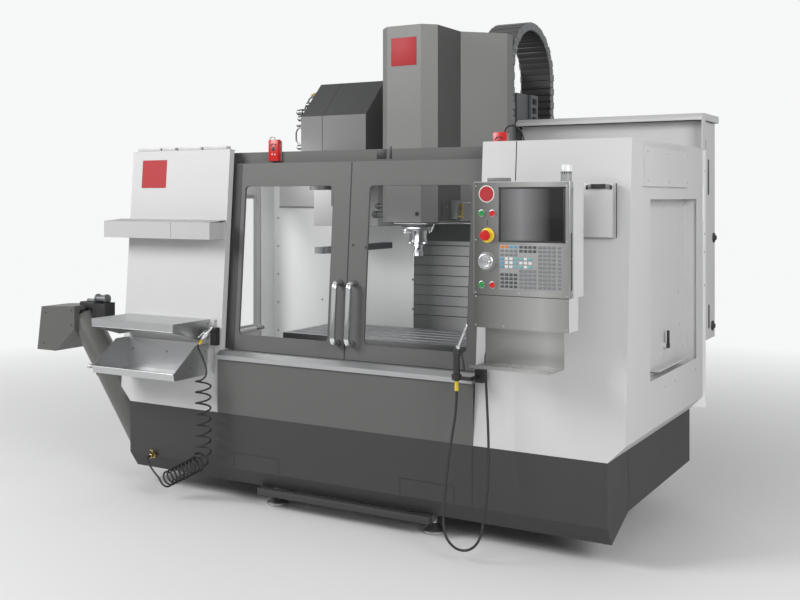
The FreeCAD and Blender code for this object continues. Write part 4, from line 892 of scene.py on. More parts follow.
class CENTER_OT_spindle(bpy.types.Operator):
    """Spindle nose, tool holder and face cutter"""

    bl_idname = "center.spindle"
    bl_label = "Spindle"

    def execute(self, context):
        nose = bmesh.new()
        axis = at(0, SPINDLE_Y, 0)
        add_turned(nose, axis, UP, [
            (1.135, 0.0), (1.135, 0.044), (1.138, 0.0475), (1.150, 0.0475), (1.152, 0.0455), (1.172, 0.0455),
            (1.174, 0.0475), (1.209, 0.0475), (1.209, 0.039), (1.276, 0.039), (1.276, 0)], 48)
        for side in (-1, 1):
            key = at(side * 0.039, SPINDLE_Y, 1.132)
            half = Vector((0.006, 0.0127, 0.004))
            add_block(nose, key - half, key + half, 0.0015)
        piece("spindle_nose", nose, "chrome", "spindle_body", ["spindle"])
        turned_piece("tool_holder", "chrome", "spindle_body", axis, UP, [
            (1.135, 0.0), (1.135, 0.0315), (1.132, 0.0315), (1.130, 0.0270), (1.1275, 0.0255),
            (1.125, 0.0270), (1.123, 0.0315), (1.120, 0.0315), (1.120, 0.0240), (1.102, 0.0210),
            (1.100, 0.0200), (1.100, 0)], 40)
        cutter = bmesh.new()
        add_turned(cutter, axis, UP, [
            (1.070, 0.0), (1.070, 0.0230), (1.072, 0.0245), (1.094, 0.0245), (1.100, 0.0225), (1.100, 0)
        ], 40)
        teeth = 6
        for k in range(teeth):
            a = 2 * math.pi * k / teeth
            middle = axis + Vector((math.cos(a) * 0.0235, math.sin(a) * 0.0235, 1.079))
            half = Vector((0.0030, 0.0042, 0.0085))
            add_block(cutter, middle - half, middle + half, 0.0008, 1, Matrix.Rotation(a, 4, "Z"))
        piece("face_cutter", cutter, "ground steel", "spindle_body")
        return {"FINISHED"}


class CENTER_OT_ways(bpy.types.Operator):
    """Telescoping way cover plates with painted shadow lines under their lips, and a dark strip of painted
    shade on the table's front edge
    """

    bl_idname = "center.ways"
    bl_label = "Way cover and table"

    def execute(self, context):
        cover, gaps, upper = bmesh.new(), bmesh.new(), bmesh.new()
        low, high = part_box("way_cover")
        left, head_plate = low.x + 0.023, 1.123
        edges = [low.z] + [0.7375 + 0.0515 * k for k in range(8)] + [head_plate]
        for k, (z0, z1) in enumerate(zip(edges, edges[1:])):
            y = low.y + 0.0007 * k
            add_block(cover, (left, y, z0), (high.x, y + 0.002, z1))
            add_block(cover, (left, y - 0.0020, z1 - 0.009), (high.x, y + 0.0015, z1 - 0.004), 0.0008, 1)
            # dark strip in the joint above each lip: a real joint, darkened as painted shadow
            add_block(gaps, (left, y - 0.0004, z1 - 0.004), (high.x, y + 0.001, z1))
        add_block(upper, (left, low.y + 0.003, head_plate), (high.x, low.y + 0.008, high.z), 0.001)
        for name, shape, finish, slot_name, replaced in (
                ("way_cover_plates", cover, "way steel", "stainless", ["way_cover"]),
                ("way_cover_shadow_lines", gaps, "edge and shade paint", "black_plastic", ()),
                ("way_cover_head_plate", upper, "edge and shade paint", "grey_paint", ())):
            made = piece(name, shape, finish, None, replaced)
            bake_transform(made)
        # A dark strip over the table's front face: painted shade.
        edge = bmesh.new()
        low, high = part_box("table")
        add_block(edge, (low.x + 0.0005, low.y - 0.0008, low.z + 0.001),
                  (high.x - 0.0005, low.y + 0.0005, high.z - 0.001), 0.0004)
        piece("table_front_shade_strip", edge, "edge and shade paint", "table_body")
        return {"FINISHED"}


class CENTER_OT_chain(bpy.types.Operator):
    """Links and side plates of the cable chain"""

    bl_idname = "center.chain"
    bl_label = "Cable chain"

    def execute(self, context):
        links = bmesh.new()
        sides = bmesh.new()
        pitch = 0.036
        front_foot, back_foot = 1.7005, 1.7385
        straight_front, straight_back = CHAIN_Z - front_foot, CHAIN_Z - back_foot
        arc = math.pi * CHAIN_R
        total = straight_front + arc + straight_back
        count = int(total / pitch)
        depth, x0, x1 = 0.042, *CHAIN_X
        for k in range(count):
            s = (k + 0.5) * total / count
            if s < straight_front:
                centre, turn = at(0, CHAIN_Y - CHAIN_R, front_foot + s), 0.0
            elif s < straight_front + arc:
                turn = (s - straight_front) / CHAIN_R
                centre = at(0, CHAIN_Y - CHAIN_R * math.cos(turn), CHAIN_Z + CHAIN_R * math.sin(turn))
            else:
                turn = math.pi
                centre = at(0, CHAIN_Y + CHAIN_R, CHAIN_Z - (s - straight_front - arc))
            spin = Matrix.Rotation(-turn, 4, "X")
            lap, grow = 0.0030 * (k % 2), 1.16 - 0.26 * (k % 2)
            for shape, xa, xb, inward, outward, along, edge in (
                    (sides, x0 + lap, x0 + 0.010, -depth / 2, depth / 2, pitch * grow, 0.005),
                    (sides, x1 - 0.010, x1 - lap, -depth / 2, depth / 2, pitch * grow, 0.005),
                    (links, x0 + 0.008, x1 - 0.008, 0.004 - depth / 2, depth / 2 - 0.003, pitch * 1.16,
                     0.001),
                    (links, x0 + 0.010, x1 - 0.010, 0.001 - depth / 2, depth / 2, pitch * 0.62, 0.002)):
                middle = centre + spin @ Vector(((xa + xb) / 2, -(inward + outward) / 2, 0))
                half = Vector(((xb - xa) / 2, (outward - inward) / 2, along / 2))
                add_block(shape, middle - half, middle + half, edge, 1, spin)
        ends = {"start": at(0.2, CHAIN_Y + CHAIN_R, 0), "end": at(0.2, CHAIN_Y - CHAIN_R, 0)}
        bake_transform(piece("chain_links", links, "chain band", None, ["cable_chain"]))
        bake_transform(piece("chain_sides", sides, "grey key", None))
        return {"FINISHED"}


class CENTER_OT_changer(bpy.types.Operator):
    """Cover seam, a darker sheet of painted shade on the sloping top, and pocket wheel of the tool changer
    """

    bl_idname = "center.changer"
    bl_label = "Tool changer"

    def execute(self, context):
        seam = context.scene.center_sizes.seam
        lines = bmesh.new()
        x = -0.585
        add_block(lines, at(x, 0.7493, 1.565), at(x + seam, 0.7505, 1.750))
        slope = math.hypot(HOOD_RISE, HOOD_RISE)
        count = 10
        for k in range(count):
            up = HOOD_RISE * (k + 0.5) / count
            middle = at(x + seam / 2, HOOD_FRONT_Y + up, HOOD_EDGE_Z + up)
            half = Vector((seam / 2, 0.0006, slope / count / 2))
            add_block(lines, middle - half, middle + half, 0, 1, Matrix.Rotation(-math.pi / 4, 4, "X"))
        piece("hood_seam", lines, "black plastic", "frame")
        # The sloping top wears a darker copy of the hood paint: painted shade.
        top = bmesh.new()
        middle = at(sum(CHANGER_X) / 2, HOOD_FRONT_Y + HOOD_RISE / 2, HOOD_EDGE_Z + HOOD_RISE / 2)
        half = Vector((0.1915, 0.0003, slope / 2 - 0.002))
        add_block(top, middle - half, middle + half, 0, 1, Matrix.Rotation(-math.pi / 4, 4, "X"))
        piece("hood_top_shade_sheet", top, "hood top shade paint", "frame")
        wheel = bmesh.new()
        hub = at(-0.645, 1.200, 1.560)
        add_turned(wheel, hub, RIGHT, [
            (0, 0.027), (0, 0.298), (0.002, 0.300), (0.028, 0.300), (0.030, 0.298), (0.030, 0.060),
            (0.034, 0.056), (0.034, 0.027), (0, 0.027)], 96)
        pockets, pocket_circle = 20, 0.258
        for k in range(pockets):
            a = 2 * math.pi * k / pockets
            pocket = hub + Vector((0.029, pocket_circle * math.cos(a), pocket_circle * math.sin(a)))
            add_turned(wheel, pocket, RIGHT, [
                (0, 0.036), (0.003, 0.038), (0.092, 0.038), (0.096, 0.034), (0.096, 0.026), (0.028, 0.024),
                (0.028, 0)], 28)
        piece("tool_wheel", wheel, "alloy", "carousel_body", ["carousel"])
        return {"FINISHED"}


class CENTER_OT_valves(bpy.types.Operator):
    """Valves and pipe loops beside the changer's cover, and the cap of its arm"""

    bl_idname = "center.valves"
    bl_label = "Changer valves"

    def execute(self, context):
        metal = bmesh.new()
        loops = bmesh.new()
        brass = bmesh.new()
        wall = CHANGER_X[0] + 0.0005
        for y, z, r, out in ((0.80, 1.599, 0.014, 0.058), (0.80, 1.709, 0.007, 0.062),
                             (0.80, 1.746, 0.016, 0.052), (0.80, 1.778, 0.017, 0.058),
                             (0.85, 1.819, 0.014, 0.038)):
            add_turned(metal, at(wall, y, z), LEFT, [
                (0, r * 0.7), (out * 0.3, r * 0.7), (out * 0.34, r), (out * 0.62, r), (out * 0.66, r * 0.85),
                (out * 0.9, r * 0.9), (out, r * 0.6)], 24)
        add_turned(brass, at(wall, 0.905, 1.872), LEFT, [
            (0, 0.009), (0.010, 0.009), (0.012, 0.015), (0.026, 0.015), (0.028, 0.010), (0.040, 0.010)], 6)
        for y0, z0, y1, z1, out in ((0.80, 1.613, 0.80, 1.700, 0.066), (0.825, 1.790, 0.880, 1.862, 0.034)):
            route = [at(wall, y0, z0), at(wall - out, y0, z0), at(wall - out, y1, z1), at(wall, y1, z1)]
            add_tube(loops, rounded(route, 0.030), 0.0042, 10)
        piece("valve_turnings", metal, "dark steel", "frame")
        piece("valve_brass", brass, "brass", "frame")
        piece("valve_pipes", loops, "dark steel", "frame")
        arm = bmesh.new()
        low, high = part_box("changer_arm")
        centre = (low + high) / 2
        add_turned(arm, Vector((centre.x, centre.y, low.z - 0.0005)), DOWN, [
            (0, 0.030), (0.003, 0.030), (0.004, 0.024), (0.004, 0)])
        add_domes(arm, [Vector((centre.x + 0.042 * math.cos(a), centre.y + 0.042 * math.sin(a), low.z))
                        for a in (math.pi / 3 * k for k in range(6))], DOWN, 0.005)
        piece("arm_cap", arm, "chrome", "arm_body")
        return {"FINISHED"}


class CENTER_OT_auger(bpy.types.Operator):
    """Helical flight, weld bands and gearmotor of the chip auger"""

    bl_idname = "center.auger"
    bl_label = "Chip auger"

    def execute(self, context):
        start, end = at(*AUGER_LOW), at(*AUGER_TOP)
        axis = (end - start).normalized()
        run = (end - start).length
        flight = bmesh.new()
        add_turned(flight, start + axis * 0.005, axis, [(0, 0.016), (run, 0.016)], 20)
        place = axis_frame(start + axis * 0.01, axis)
        pitch, steps = 0.11, 24
        total = int((run - 0.02) / pitch * steps)
        rows = []
        for k in range(total + 1):
            a = 2 * math.pi * k / steps
            rise = pitch * k / steps
            rows.append([flight.verts.new(place @ Vector((r * math.cos(a), r * math.sin(a), rise + t)))
                         for r, t in ((0.014, 0), (0.056, 0), (0.056, 0.004), (0.014, 0.004))])
        for first, second in zip(rows, rows[1:]):
            for i in range(4):
                j = (i + 1) % 4
                flight.faces.new((first[i], first[j], second[j], second[i]))
        flight.faces.new(rows[0])
        flight.faces.new(rows[-1])
        piece("auger_flight", flight, "ground steel", "auger_body", ["auger_screw"])
        bands = bmesh.new()
        for along in (0.10, run * 0.62):
            add_turned(bands, start + axis * along, axis, [
                (0, 0.068), (0.001, 0.0705), (0.019, 0.0705), (0.020, 0.068)], 40)
        piece("auger_bands", bands, "tube paint", "frame")
        motor = bmesh.new()
        add_block(motor, at(-1.500, 0.097, 0.755), at(-1.410, 0.163, 0.826), 0.006)
        for k in range(7):
            x = -1.490 + 0.012 * k
            add_block(motor, at(x, 0.095, 0.760), at(x + 0.005, 0.165, 0.828), 0.001, 1)
        add_block(motor, at(-1.600, 0.110, 0.795), at(-1.470, 0.150, 0.828), 0.004)
        add_turned(motor, end + axis * 0.009, axis, [(0, 0.045), (0.024, 0.045), (0.027, 0.040)], 32)
        piece("gearmotor_case", motor, "black plastic", "frame", ["auger_gearmotor"])
        shine = bmesh.new()
        add_turned(shine, at(-1.500, 0.130, 0.845), RIGHT, [
            (0, 0.018), (0.004, 0.024), (0.012, 0.024), (0.014, 0.019), (0.060, 0.019), (0.062, 0.024),
            (0.071, 0.024), (0.075, 0.018)], 24)
        add_turned(shine, at(-1.560, 0.130, 0.833), RIGHT, [(0, 0.010), (0.070, 0.010)], 16)
        piece("gearmotor_shaft", shine, "dark steel", "frame")
        bolts = bmesh.new()
        low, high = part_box("auger_chute")
        spots = ((high.x - 0.02, 0.72), (high.x - 0.02, 0.79), (low.x + 0.06, 0.77), (low.x + 0.05, 0.62))
        add_domes(bolts, [Vector((x, low.y, z)) for x, z in spots], FRONT, 0.005)
        piece("chute_bolts", bolts, "edge and shade paint", "frame")
        return {"FINISHED"}


KEY_COLUMNS, KEY_ROWS = 13, 11
KEY_STEP_X, KEY_STEP_Z, KEY_GROUP_GAP = 0.0174, 0.0142, 0.0035
KEY_SIZE = (0.0125, 0.0094)
KEY_LEFT, KEY_TOP = 0.8085, 1.1625            # left edge of the first column, foot of the top row


def key_colour(column, row):
    """Finish of one key, or none where the pad is bare."""
    if column < 4:
        if row == 0:
            return ("orange key", "orange key", "blue key", "blue key")[column]
        if 3 <= row <= 5:
            return ("blue key", "white key", "white key", "teal key")[column]
        return "grey key" if row < 3 else None if row == 6 else "dark key"
    if column < 8:
        if 2 <= row <= 5:
            return (None, "teal key", "white key", "teal key")[row - 2] if column in (4, 6) else (
                "white key" if column == 5 and row > 2 else None)
        return "dark key" if row < 2 else "grey key"
    return "grey key"


class CENTER_OT_pendant(bpy.types.Operator):
    """Keypad, screen bezel and red disc of the pendant"""

    bl_idname = "center.pendant"
    bl_label = "Pendant"

    def execute(self, context):
        body = "pendant_body"
        block_piece("keypad_film", "keypad film", body, at(0.805, FACE_Y - 0.0012, 1.014),
                    at(1.044, FACE_Y, 1.174), 0.0004, ["keypad"])
        banks = {}
        for column in range(KEY_COLUMNS):
            x = KEY_LEFT + column * KEY_STEP_X + column // 4 * KEY_GROUP_GAP
            for row in range(KEY_ROWS):
                colour = key_colour(column, row)
                if colour:
                    z = KEY_TOP - row * KEY_STEP_Z
                    add_block(banks.setdefault(colour, bmesh.new()), at(x, FACE_Y - 0.003, z),
                              at(x + KEY_SIZE[0], FACE_Y - 0.001, z + KEY_SIZE[1]), 0.0009, 2)
        for colour, shape in banks.items():
            piece("keys_" + colour.split()[0], shape, colour, body)
        bezel = bmesh.new()
        x0, x1, z0, z1, rim = *SCREEN_X, *SCREEN_Z, 0.006
        for left, right, low, high in ((x0, x0 + rim, z0, z1), (x1 - rim, x1, z0, z1),
                                       (x0, x1, z0, z0 + rim), (x0, x1, z1 - rim, z1)):
            add_block(bezel, at(left, FACE_Y - 0.0022, low), at(right, FACE_Y + 0.0005, high), 0.0007)
        piece("screen_bezel", bezel, "black plastic", body)
        disc = at(DISC_X, FACE_Y, DISC_Z)
        turned_piece("pendant_disc", "accent paint", body, disc, FRONT, [
            (0, 0.028), (0.0010, 0.028), (0.0016, 0.0272), (0.0016, 0)], 48)
        turned_piece("pendant_disc_rim", "white key", body, disc, FRONT, [
            (0, 0.0310), (0.0008, 0.0310), (0.0012, 0.0304), (0.0012, 0)], 48)
        return {"FINISHED"}


class CENTER_OT_buttons(bpy.types.Operator):
    """Emergency stop and push buttons with their collars"""

    bl_idname = "center.buttons"
    bl_label = "Buttons"

    def execute(self, context):
        body = "pendant_body"
        stop = at(STOP_X, FACE_Y, STOP_Z)
        turned_piece("stop_collar", "yellow plastic", body, stop, FRONT, [
            (0, 0.027), (0.0015, 0.027), (0.0040, 0.0240), (0.0050, 0.0200), (0.0050, 0.0115), (0, 0.0115)
        ], 48)
        turned_piece("stop_mushroom", "red plastic", "estop_body", stop, FRONT, [
            (-0.023, 0.011), (0.016, 0.011), (0.0165, 0.0165), (0.019, 0.019), (0.025, 0.019),
            (0.029, 0.0165), (0.030, 0.011), (0.030, 0)], 48, ["estop"])
        left, right, upper, lower = 0.734, 0.777, 1.286, 1.028
        for name, finish, x, z in (("on", "green plastic", left, upper),
                                   ("off", "red plastic", right, upper),
                                   ("start", "green plastic", left, lower),
                                   ("hold", "red plastic", right, lower)):
            cap = bmesh.new()
            add_turned(cap, at(x, FACE_Y, z), FRONT, [
                (-0.023, 0.007), (0.0035, 0.007), (0.0035, 0.0105), (0.0060, 0.0105), (0.0070, 0.0092),
                (0.0066, 0.0070), (0.0064, 0)], 32)
            piece(f"cap_{name}", cap, finish, f"button_{name}_body", [f"button_{name}"])
            turned_piece(f"collar_{name}", "zinc", body, at(x, FACE_Y, z), FRONT, [
                (0, 0.0075), (0, 0.0135), (0.0006, 0.0135), (0.0010, 0.0125), (0.0010, 0.0075)], 32)
        return {"FINISHED"}


class CENTER_OT_jog(bpy.types.Operator):
    """Handwheel with its dial and ticks"""

    bl_idname = "center.jog"
    bl_label = "Jog wheel"

    def execute(self, context):
        body = "pendant_body"
        wheel = bmesh.new()
        jog = at(JOG_X, FACE_Y, JOG_Z)
        add_turned(wheel, jog, FRONT, [
            (-0.023, 0.008), (0.002, 0.008), (0.002, 0.0275), (0.0035, 0.029), (0.0120, 0.029),
            (0.0150, 0.0265), (0.0160, 0.0230), (0.0150, 0.0200), (0.0145, 0.0080), (0.0160, 0.0060),
            (0.0160, 0)], 64)
        add_turned(wheel, jog + Vector((0.017, -0.0145, 0)), FRONT, [
            (0, 0.0045), (0.003, 0.0045), (0.004, 0.0058), (0.0115, 0.006), (0.0135, 0.004), (0.0135, 0)
        ], 24)
        piece("jog_handwheel", wheel, "wheel alloy", "jog_body", ["jog_wheel"])
        turned_piece("jog_dial", "keypad film", body, jog, FRONT, [
            (0, 0.0085), (0, 0.034), (0.0010, 0.034), (0.0016, 0.0325), (0.0016, 0.0085)], 64)
        ticks = bmesh.new()
        marks = 50
        for k in range(marks):
            a = 2 * math.pi * k / marks
            centre = jog + Vector((0.0312 * math.sin(a), -0.0017, 0.0312 * math.cos(a)))
            half = Vector((0.00035, 0.0002, 0.0013 if k % 5 else 0.0020))
            add_block(ticks, centre - half, centre + half, 0, 1, Matrix.Rotation(a, 4, "Y"))
        piece("jog_ticks", ticks, "dark key", body)
        return {"FINISHED"}


class CENTER_OT_beacon(bpy.types.Operator):
    """Lens, band and ribbed foot of the beacon"""

    bl_idname = "center.beacon"
    bl_label = "Beacon"

    def execute(self, context):
        body = "pendant_body"
        lamp = bmesh.new()
        top = at(1.030, -0.090, 1.400)
        add_turned(lamp, top, UP, [
            (0.035, 0.0200), (0.0355, 0.0212), (0.056, 0.0212), (0.060, 0.0190), (0.062, 0.0120), (0.062, 0)
        ], 40)
        piece("beacon_lens", lamp, "lamp", body, ["beacon"])
        turned_piece("beacon_band", "black plastic", body, top, UP,
                     [(0.027, 0.0185), (0.035, 0.0185)], 40)
        foot = bmesh.new()
        add_turned(foot, top, UP, [(0, 0.022), (0.003, 0.022), (0.004, 0.0195), (0.027, 0.0195)], 40)
        ribs = 14
        for k in range(ribs):
            a = 2 * math.pi * k / ribs
            rib = top + Vector((0.0188 * math.cos(a), 0.0188 * math.sin(a), 0.031))
            half = Vector((0.0013, 0.0022, 0.004))
            add_block(foot, rib - half, rib + half, 0, 1, Matrix.Rotation(a, 4, "Z"))
        piece("beacon_foot", foot, "keypad film", body)
        return {"FINISHED"}


class CENTER_OT_pendant_trim(bpy.types.Operator):
    """Screws, gaps, side strip and top plate of the pendant"""

    bl_idname = "center.pendant_trim"
    bl_label = "Pendant trim"

    def execute(self, context):
        body = "pendant_body"
        screws = bmesh.new()
        spots = [(x, z) for x in (0.710, 1.060) for z in (1.385, 1.19, 1.000, 0.985, 0.882)]
        spots += [(0.88, 1.000), (0.82, 0.882), (0.94, 0.882)]
        add_domes(screws, [at(x, FACE_Y, z) for x, z in spots], FRONT, 0.0026, 0.0010)
        piece("pendant_screws", screws, "alloy", body)
        slots = bmesh.new()
        add_block(slots, at(0.703, FACE_Y - 0.0004, 0.9895), at(1.067, FACE_Y + 0.0005, 0.9920))
        add_block(slots, at(1.0694, -0.1500, 1.020), at(1.0712, -0.1430, 1.220))
        add_block(slots, at(0.755, FACE_Y - 0.0004, 1.243), at(0.757, FACE_Y + 0.0003, 1.262))
        piece("pendant_gaps", slots, "black plastic", body)
        block_piece("pendant_side_strip", "brushed sheet", body, at(1.0688, -0.1620, 0.992),
                    at(1.0704, -0.1280, 1.398), 0.0004)
        side_screws = bmesh.new()
        add_domes(side_screws, [at(1.0704, -0.135, z) for z in (1.012, 1.130, 1.250, 1.380)], RIGHT, 0.0028,
                  0.0012)
        piece("pendant_side_screws", side_screws, "chrome", body)
        block_piece("pendant_top_plate", "grey key", body, at(0.735, -0.120, 1.3995),
                    at(0.805, -0.060, 1.415), 0.002)
        return {"FINISHED"}


class CENTER_OT_clipboard(bpy.types.Operator):
    """Plate and clip of the clipboard holder"""

    bl_idname = "center.clipboard"
    bl_label = "Clipboard holder"

    def execute(self, context):
        board = bmesh.new()
        left, right, low, high, sheet = *BOARD_X, *BOARD_Z, 0.0015
        add_block(board, at(left, 0.0448, low), at(right, 0.0462, high), 0.0004)
        for x in (left, right - sheet):
            add_block(board, at(x, 0.040, low), at(x + sheet, 0.046, high), 0.0004)
        piece("clipboard_plate", board, "white paint", "frame")
        block_piece("clipboard_clip", "grey key", "frame", at(1.062, 0.0390, 1.376),
                    at(1.146, 0.0455, 1.391), 0.002)
        ends = bmesh.new()
        for x in (1.054, 1.144):
            add_block(ends, at(x, 0.0380, 1.372), at(x + 0.009, 0.0455, 1.388), 0.003)
        piece("clipboard_clip_ends", ends, "black plastic", "frame")
        return {"FINISHED"}


class CENTER_OT_shelves(bpy.types.Operator):
    """Top sheet and seam of the rack, and rims, hem, screws and strip of the worktable and tray"""

    bl_idname = "center.shelves"
    bl_label = "Shelves"

    def execute(self, context):
        screws = bmesh.new()
        spots = [at(x, lean_y(z) - 0.002, z) for x in (-1.15, -0.94, -0.73) for z in (0.76, 0.64)]
        add_domes(screws, spots, FRONT, 0.005)
        spots = [at(-0.70, y, z) for y, z in ((0.012, 0.73), (0.015, 0.782), (-0.10, 0.60), (0.0, 0.66))]
        add_domes(screws, spots, RIGHT, 0.004)
        piece("shelf_screws", screws, "dark steel", "frame")
        rims = bmesh.new()
        for x in TRAY_X:
            add_tube(rims, [at(x, -0.204, 0.586), at(x, -0.061, 0.6915), at(x, 0.012, 0.6915)], 0.0022, 8)
        add_tube(rims, [at(x, -0.205, 0.5855) for x in TRAY_X], 0.0024, 8)
        piece("tray_rims", rims, "zinc", "frame")
        low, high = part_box("tool_rack")
        front, back = low.y - BASE_FRONT_Y, high.y - BASE_FRONT_Y
        left, right, slot_front, slot_back = -1.2715, -0.6375, -0.030, 0.038
        slots, slot_step, slot_width, skew = 7, 0.084, 0.022, 0.040
        starts = [left + 0.0565 + slot_step * k for k in range(slots)]
        ends = [start + slot_width for start in starts]
        strips = [((left, y0), (right, y0), (right, y1), (left, y1))
                  for y0, y1 in ((front, slot_front), (slot_back, back))]
        lands = [(left, starts[0], left, starts[0] + skew)]
        lands += [(a, b, a + skew, b + skew) for a, b in zip(ends, starts[1:])]
        lands += [(ends[-1], right, ends[-1] + skew, right)]
        strips += [((a, slot_front), (b, slot_front), (d, slot_back), (c, slot_back))
                   for a, b, c, d in lands]
        sheet = bmesh.new()
        under, thickness, rise = high.z + 0.0002, 0.0012, 0.009 / (back - front)
        for strip in strips:
            add_hexahedron(sheet, [at(x, y, under + up + rise * (y - front)) for up in (0.0, thickness)
                                   for x, y in strip])
        piece("rack_top_sheet", sheet, "rack paint", "frame")
        # A dark upright strip under the sheet behind the slots: painted shade seen through them.
        block_piece("rack_slot_shade_web", "dark key", "frame", at(left, slot_back, under),
                    at(right, slot_back + 0.001, under + rise * (slot_back - front)))
        block_piece("rack_seam", "grey key", "frame",
                    at(-0.8620, front - 0.0004, low.z + 0.002), at(-0.8602, front + 0.001, high.z - 0.001))
        lip = bmesh.new()
        add_tube(lip, [at(x, -0.2085, 0.765) for x in (-1.1795, -0.7005)], 0.0022, 8)
        piece("worktable_hem", lip, "dark steel", "frame")
        turned_piece("tray_pin", "alloy", "frame", at(-1.180, -0.190, 0.580), LEFT, [
            (0, 0.006), (0.020, 0.006), (0.021, 0.009), (0.042, 0.009), (0.044, 0.007)], 20)
        bracket = bmesh.new()
        x, foot, step, steps = -0.672, 0.560, 0.024, 10
        for k in range(steps):
            z0, z1 = foot + step * k, foot + step * (k + 1)
            add_block(bracket, at(x, lean_y(z0) - 0.002, z0), at(x + 0.012, lean_y(z1) + 0.001, z1))
        piece("bracket_strip", bracket, "brushed sheet", "frame")
        return {"FINISHED"}


WASH_X, WASH_Y = 0.580, -0.060                # axis of the washdown gun
WASH_ROUTE = [(WASH_X, WASH_Y, 0.613), (WASH_X, WASH_Y, 0.545), (0.567, -0.078, 0.430),
              (0.560, -0.100, 0.320), (0.559, -0.120, 0.215), (0.562, -0.136, 0.130), (0.578, -0.146, 0.080),
              (0.620, -0.152, 0.048), (0.671, -0.153, 0.048), (0.712, -0.150, 0.080), (0.727, -0.140, 0.135),
              (0.734, -0.124, 0.225), (0.735, -0.108, 0.335), (0.729, -0.094, 0.455), (0.719, -0.086, 0.580),
              (0.714, -0.088, 0.690), (0.714, -0.090, 0.800), (0.714, 0.020, 0.800)]


class CENTER_OT_washdown(bpy.types.Operator):
    """Washdown hose with its gun, lance, trigger, collar and bulkhead fitting"""

    bl_idname = "center.washdown"
    bl_label = "Washdown gun"

    def execute(self, context):
        sizes = context.scene.center_sizes
        wash = spline("washdown_hose", [at(*p) for p in WASH_ROUTE], sizes.wash_hose / 2)
        wash.data.materials.append(Finish.made["rubber"])
        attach(wash, "frame")
        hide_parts("wash_hose")
        gun = bmesh.new()
        grip = at(WASH_X, WASH_Y, 0.650)
        add_turned(gun, grip, UP, [
            (0, 0.009), (0.004, 0.012), (0.030, 0.013), (0.085, 0.0125), (0.108, 0.0145), (0.122, 0.011),
            (0.126, 0.006)], 28)
        pivot_x, pivot_z = 0.600, 0.756
        for side in (-1, 1):
            add_turned(gun, at(pivot_x - 0.014, WASH_Y + side * 0.011, pivot_z), RIGHT,
                       [(0, 0.0018), (0.017, 0.0018)], 10)
        add_turned(gun, at(WASH_X, WASH_Y, 0.6671), UP, [
            (0, 0.019), (0.002, 0.0195), (0.007, 0.019), (0.009, 0.017)], 28)
        gun_made = piece("washdown_gun", gun, "black plastic", "frame", ["wash_gun"])
        lance = bmesh.new()
        low, high = at(WASH_X, WASH_Y, 0.764), at(0.624, WASH_Y, 0.866)
        aim = high - low
        add_turned(lance, low, aim, [
            (0, 0.008), (0.022, 0.008), (0.024, 0.0045), (aim.length - 0.006, 0.0042), (aim.length, 0.0030),
            (aim.length, 0)], 20)
        lance_made = piece("washdown_lance", lance, "chrome", "frame")
        collar_made = turned_piece("washdown_collar", "yellow plastic", "frame",
                                   at(*WASH_ROUTE[0]), UP, [
            (0, 0.0048), (0, 0.0075), (0.004, 0.008), (0.018, 0.008), (0.020, 0.0072), (0.034, 0.0078),
            (0.038, 0.007)], 24)
        trigger = bmesh.new()
        route = [at(x, WASH_Y, z)
                 for x, z in ((pivot_x, pivot_z), (0.607, 0.730), (0.611, 0.700), (0.612, 0.690))]
        add_tube(trigger, route, 0.004, 14)
        add_turned(trigger, at(pivot_x, WASH_Y - 0.009, pivot_z), BACK, [(0, 0.0025), (0.018, 0.0025)], 12)
        trigger_made = piece("washdown_trigger", trigger, "black plastic", "trigger_body",
                             ["wash_trigger"])
        tuple(at(*WASH_ROUTE[-1]))
        turned_piece("wash_bulkhead", "brass", "frame", at(0.714, 0.030, 0.800), FRONT, [
            (0, 0.0145), (0.008, 0.0145), (0.009, 0.0095), (0.0102, 0.0095)], 6)
        return {"FINISHED"}


AIR_PORT, COIL_START = (-0.998, -0.034, 0.165), (-0.858, -0.080, 0.087)
LIE_TURNS, BEND_TURNS, HANG_TURNS = 8.0, 2.5, 6.5
LIE_PITCH, HANG_PITCH = 0.024, 0.047
COIL_R, COIL_SLOPE, CORNERS = 0.032, math.radians(27), 12
BEND_R = BEND_TURNS * (LIE_PITCH + HANG_PITCH) / 2 / (math.pi / 2 - COIL_SLOPE)


def coil_corner(turns):
    """A control point of the curly hose's coil, which lies slanted, bends up and then hangs."""
    bent = min(max(turns - LIE_TURNS, 0), BEND_TURNS)
    bent_length = LIE_PITCH * bent + (HANG_PITCH - LIE_PITCH) * bent ** 2 / (2 * BEND_TURNS)
    slope = COIL_SLOPE + bent_length / BEND_R
    along = Vector((math.cos(COIL_SLOPE), 0, math.sin(COIL_SLOPE)))
    lying = along * (min(turns, LIE_TURNS) * LIE_PITCH)
    bend = Vector((math.sin(slope) - along.z, 0, along.x - math.cos(slope))) * BEND_R
    hanging = Vector((0, 0, max(turns - LIE_TURNS - BEND_TURNS, 0) * HANG_PITCH))
    a = 2 * math.pi * (turns + 0.5)
    radial = Vector((-math.sin(slope) * math.sin(a), math.cos(a), math.cos(slope) * math.sin(a)))
    return at(*COIL_START) + lying + bend + hanging + radial * (COIL_R / math.cos(math.pi / CORNERS))


def air_route(end, axis):
    """Control points of the curly hose: lead, coil, lead. Twelve points make a turn."""
    route = [at(*AIR_PORT), at(-0.998, -0.046, 0.165), at(-0.984, -0.066, 0.159), at(-0.948, -0.087, 0.142),
             at(-0.900, -0.106, 0.119), at(-0.868, -0.113, 0.103)]
    turns = LIE_TURNS + BEND_TURNS + HANG_TURNS
    route += [coil_corner((k + 0.5) / CORNERS) for k in range(round(turns * CORNERS))]
    route += [at(-0.624, -0.112, 0.556), at(-0.616, -0.094, 0.570), at(-0.625, -0.078, 0.592),
              at(-0.650, -0.066, 0.628), at(-0.673, -0.061, 0.660), at(-0.691, -0.060, 0.685)]
    return route + [end - axis * 0.008, end]


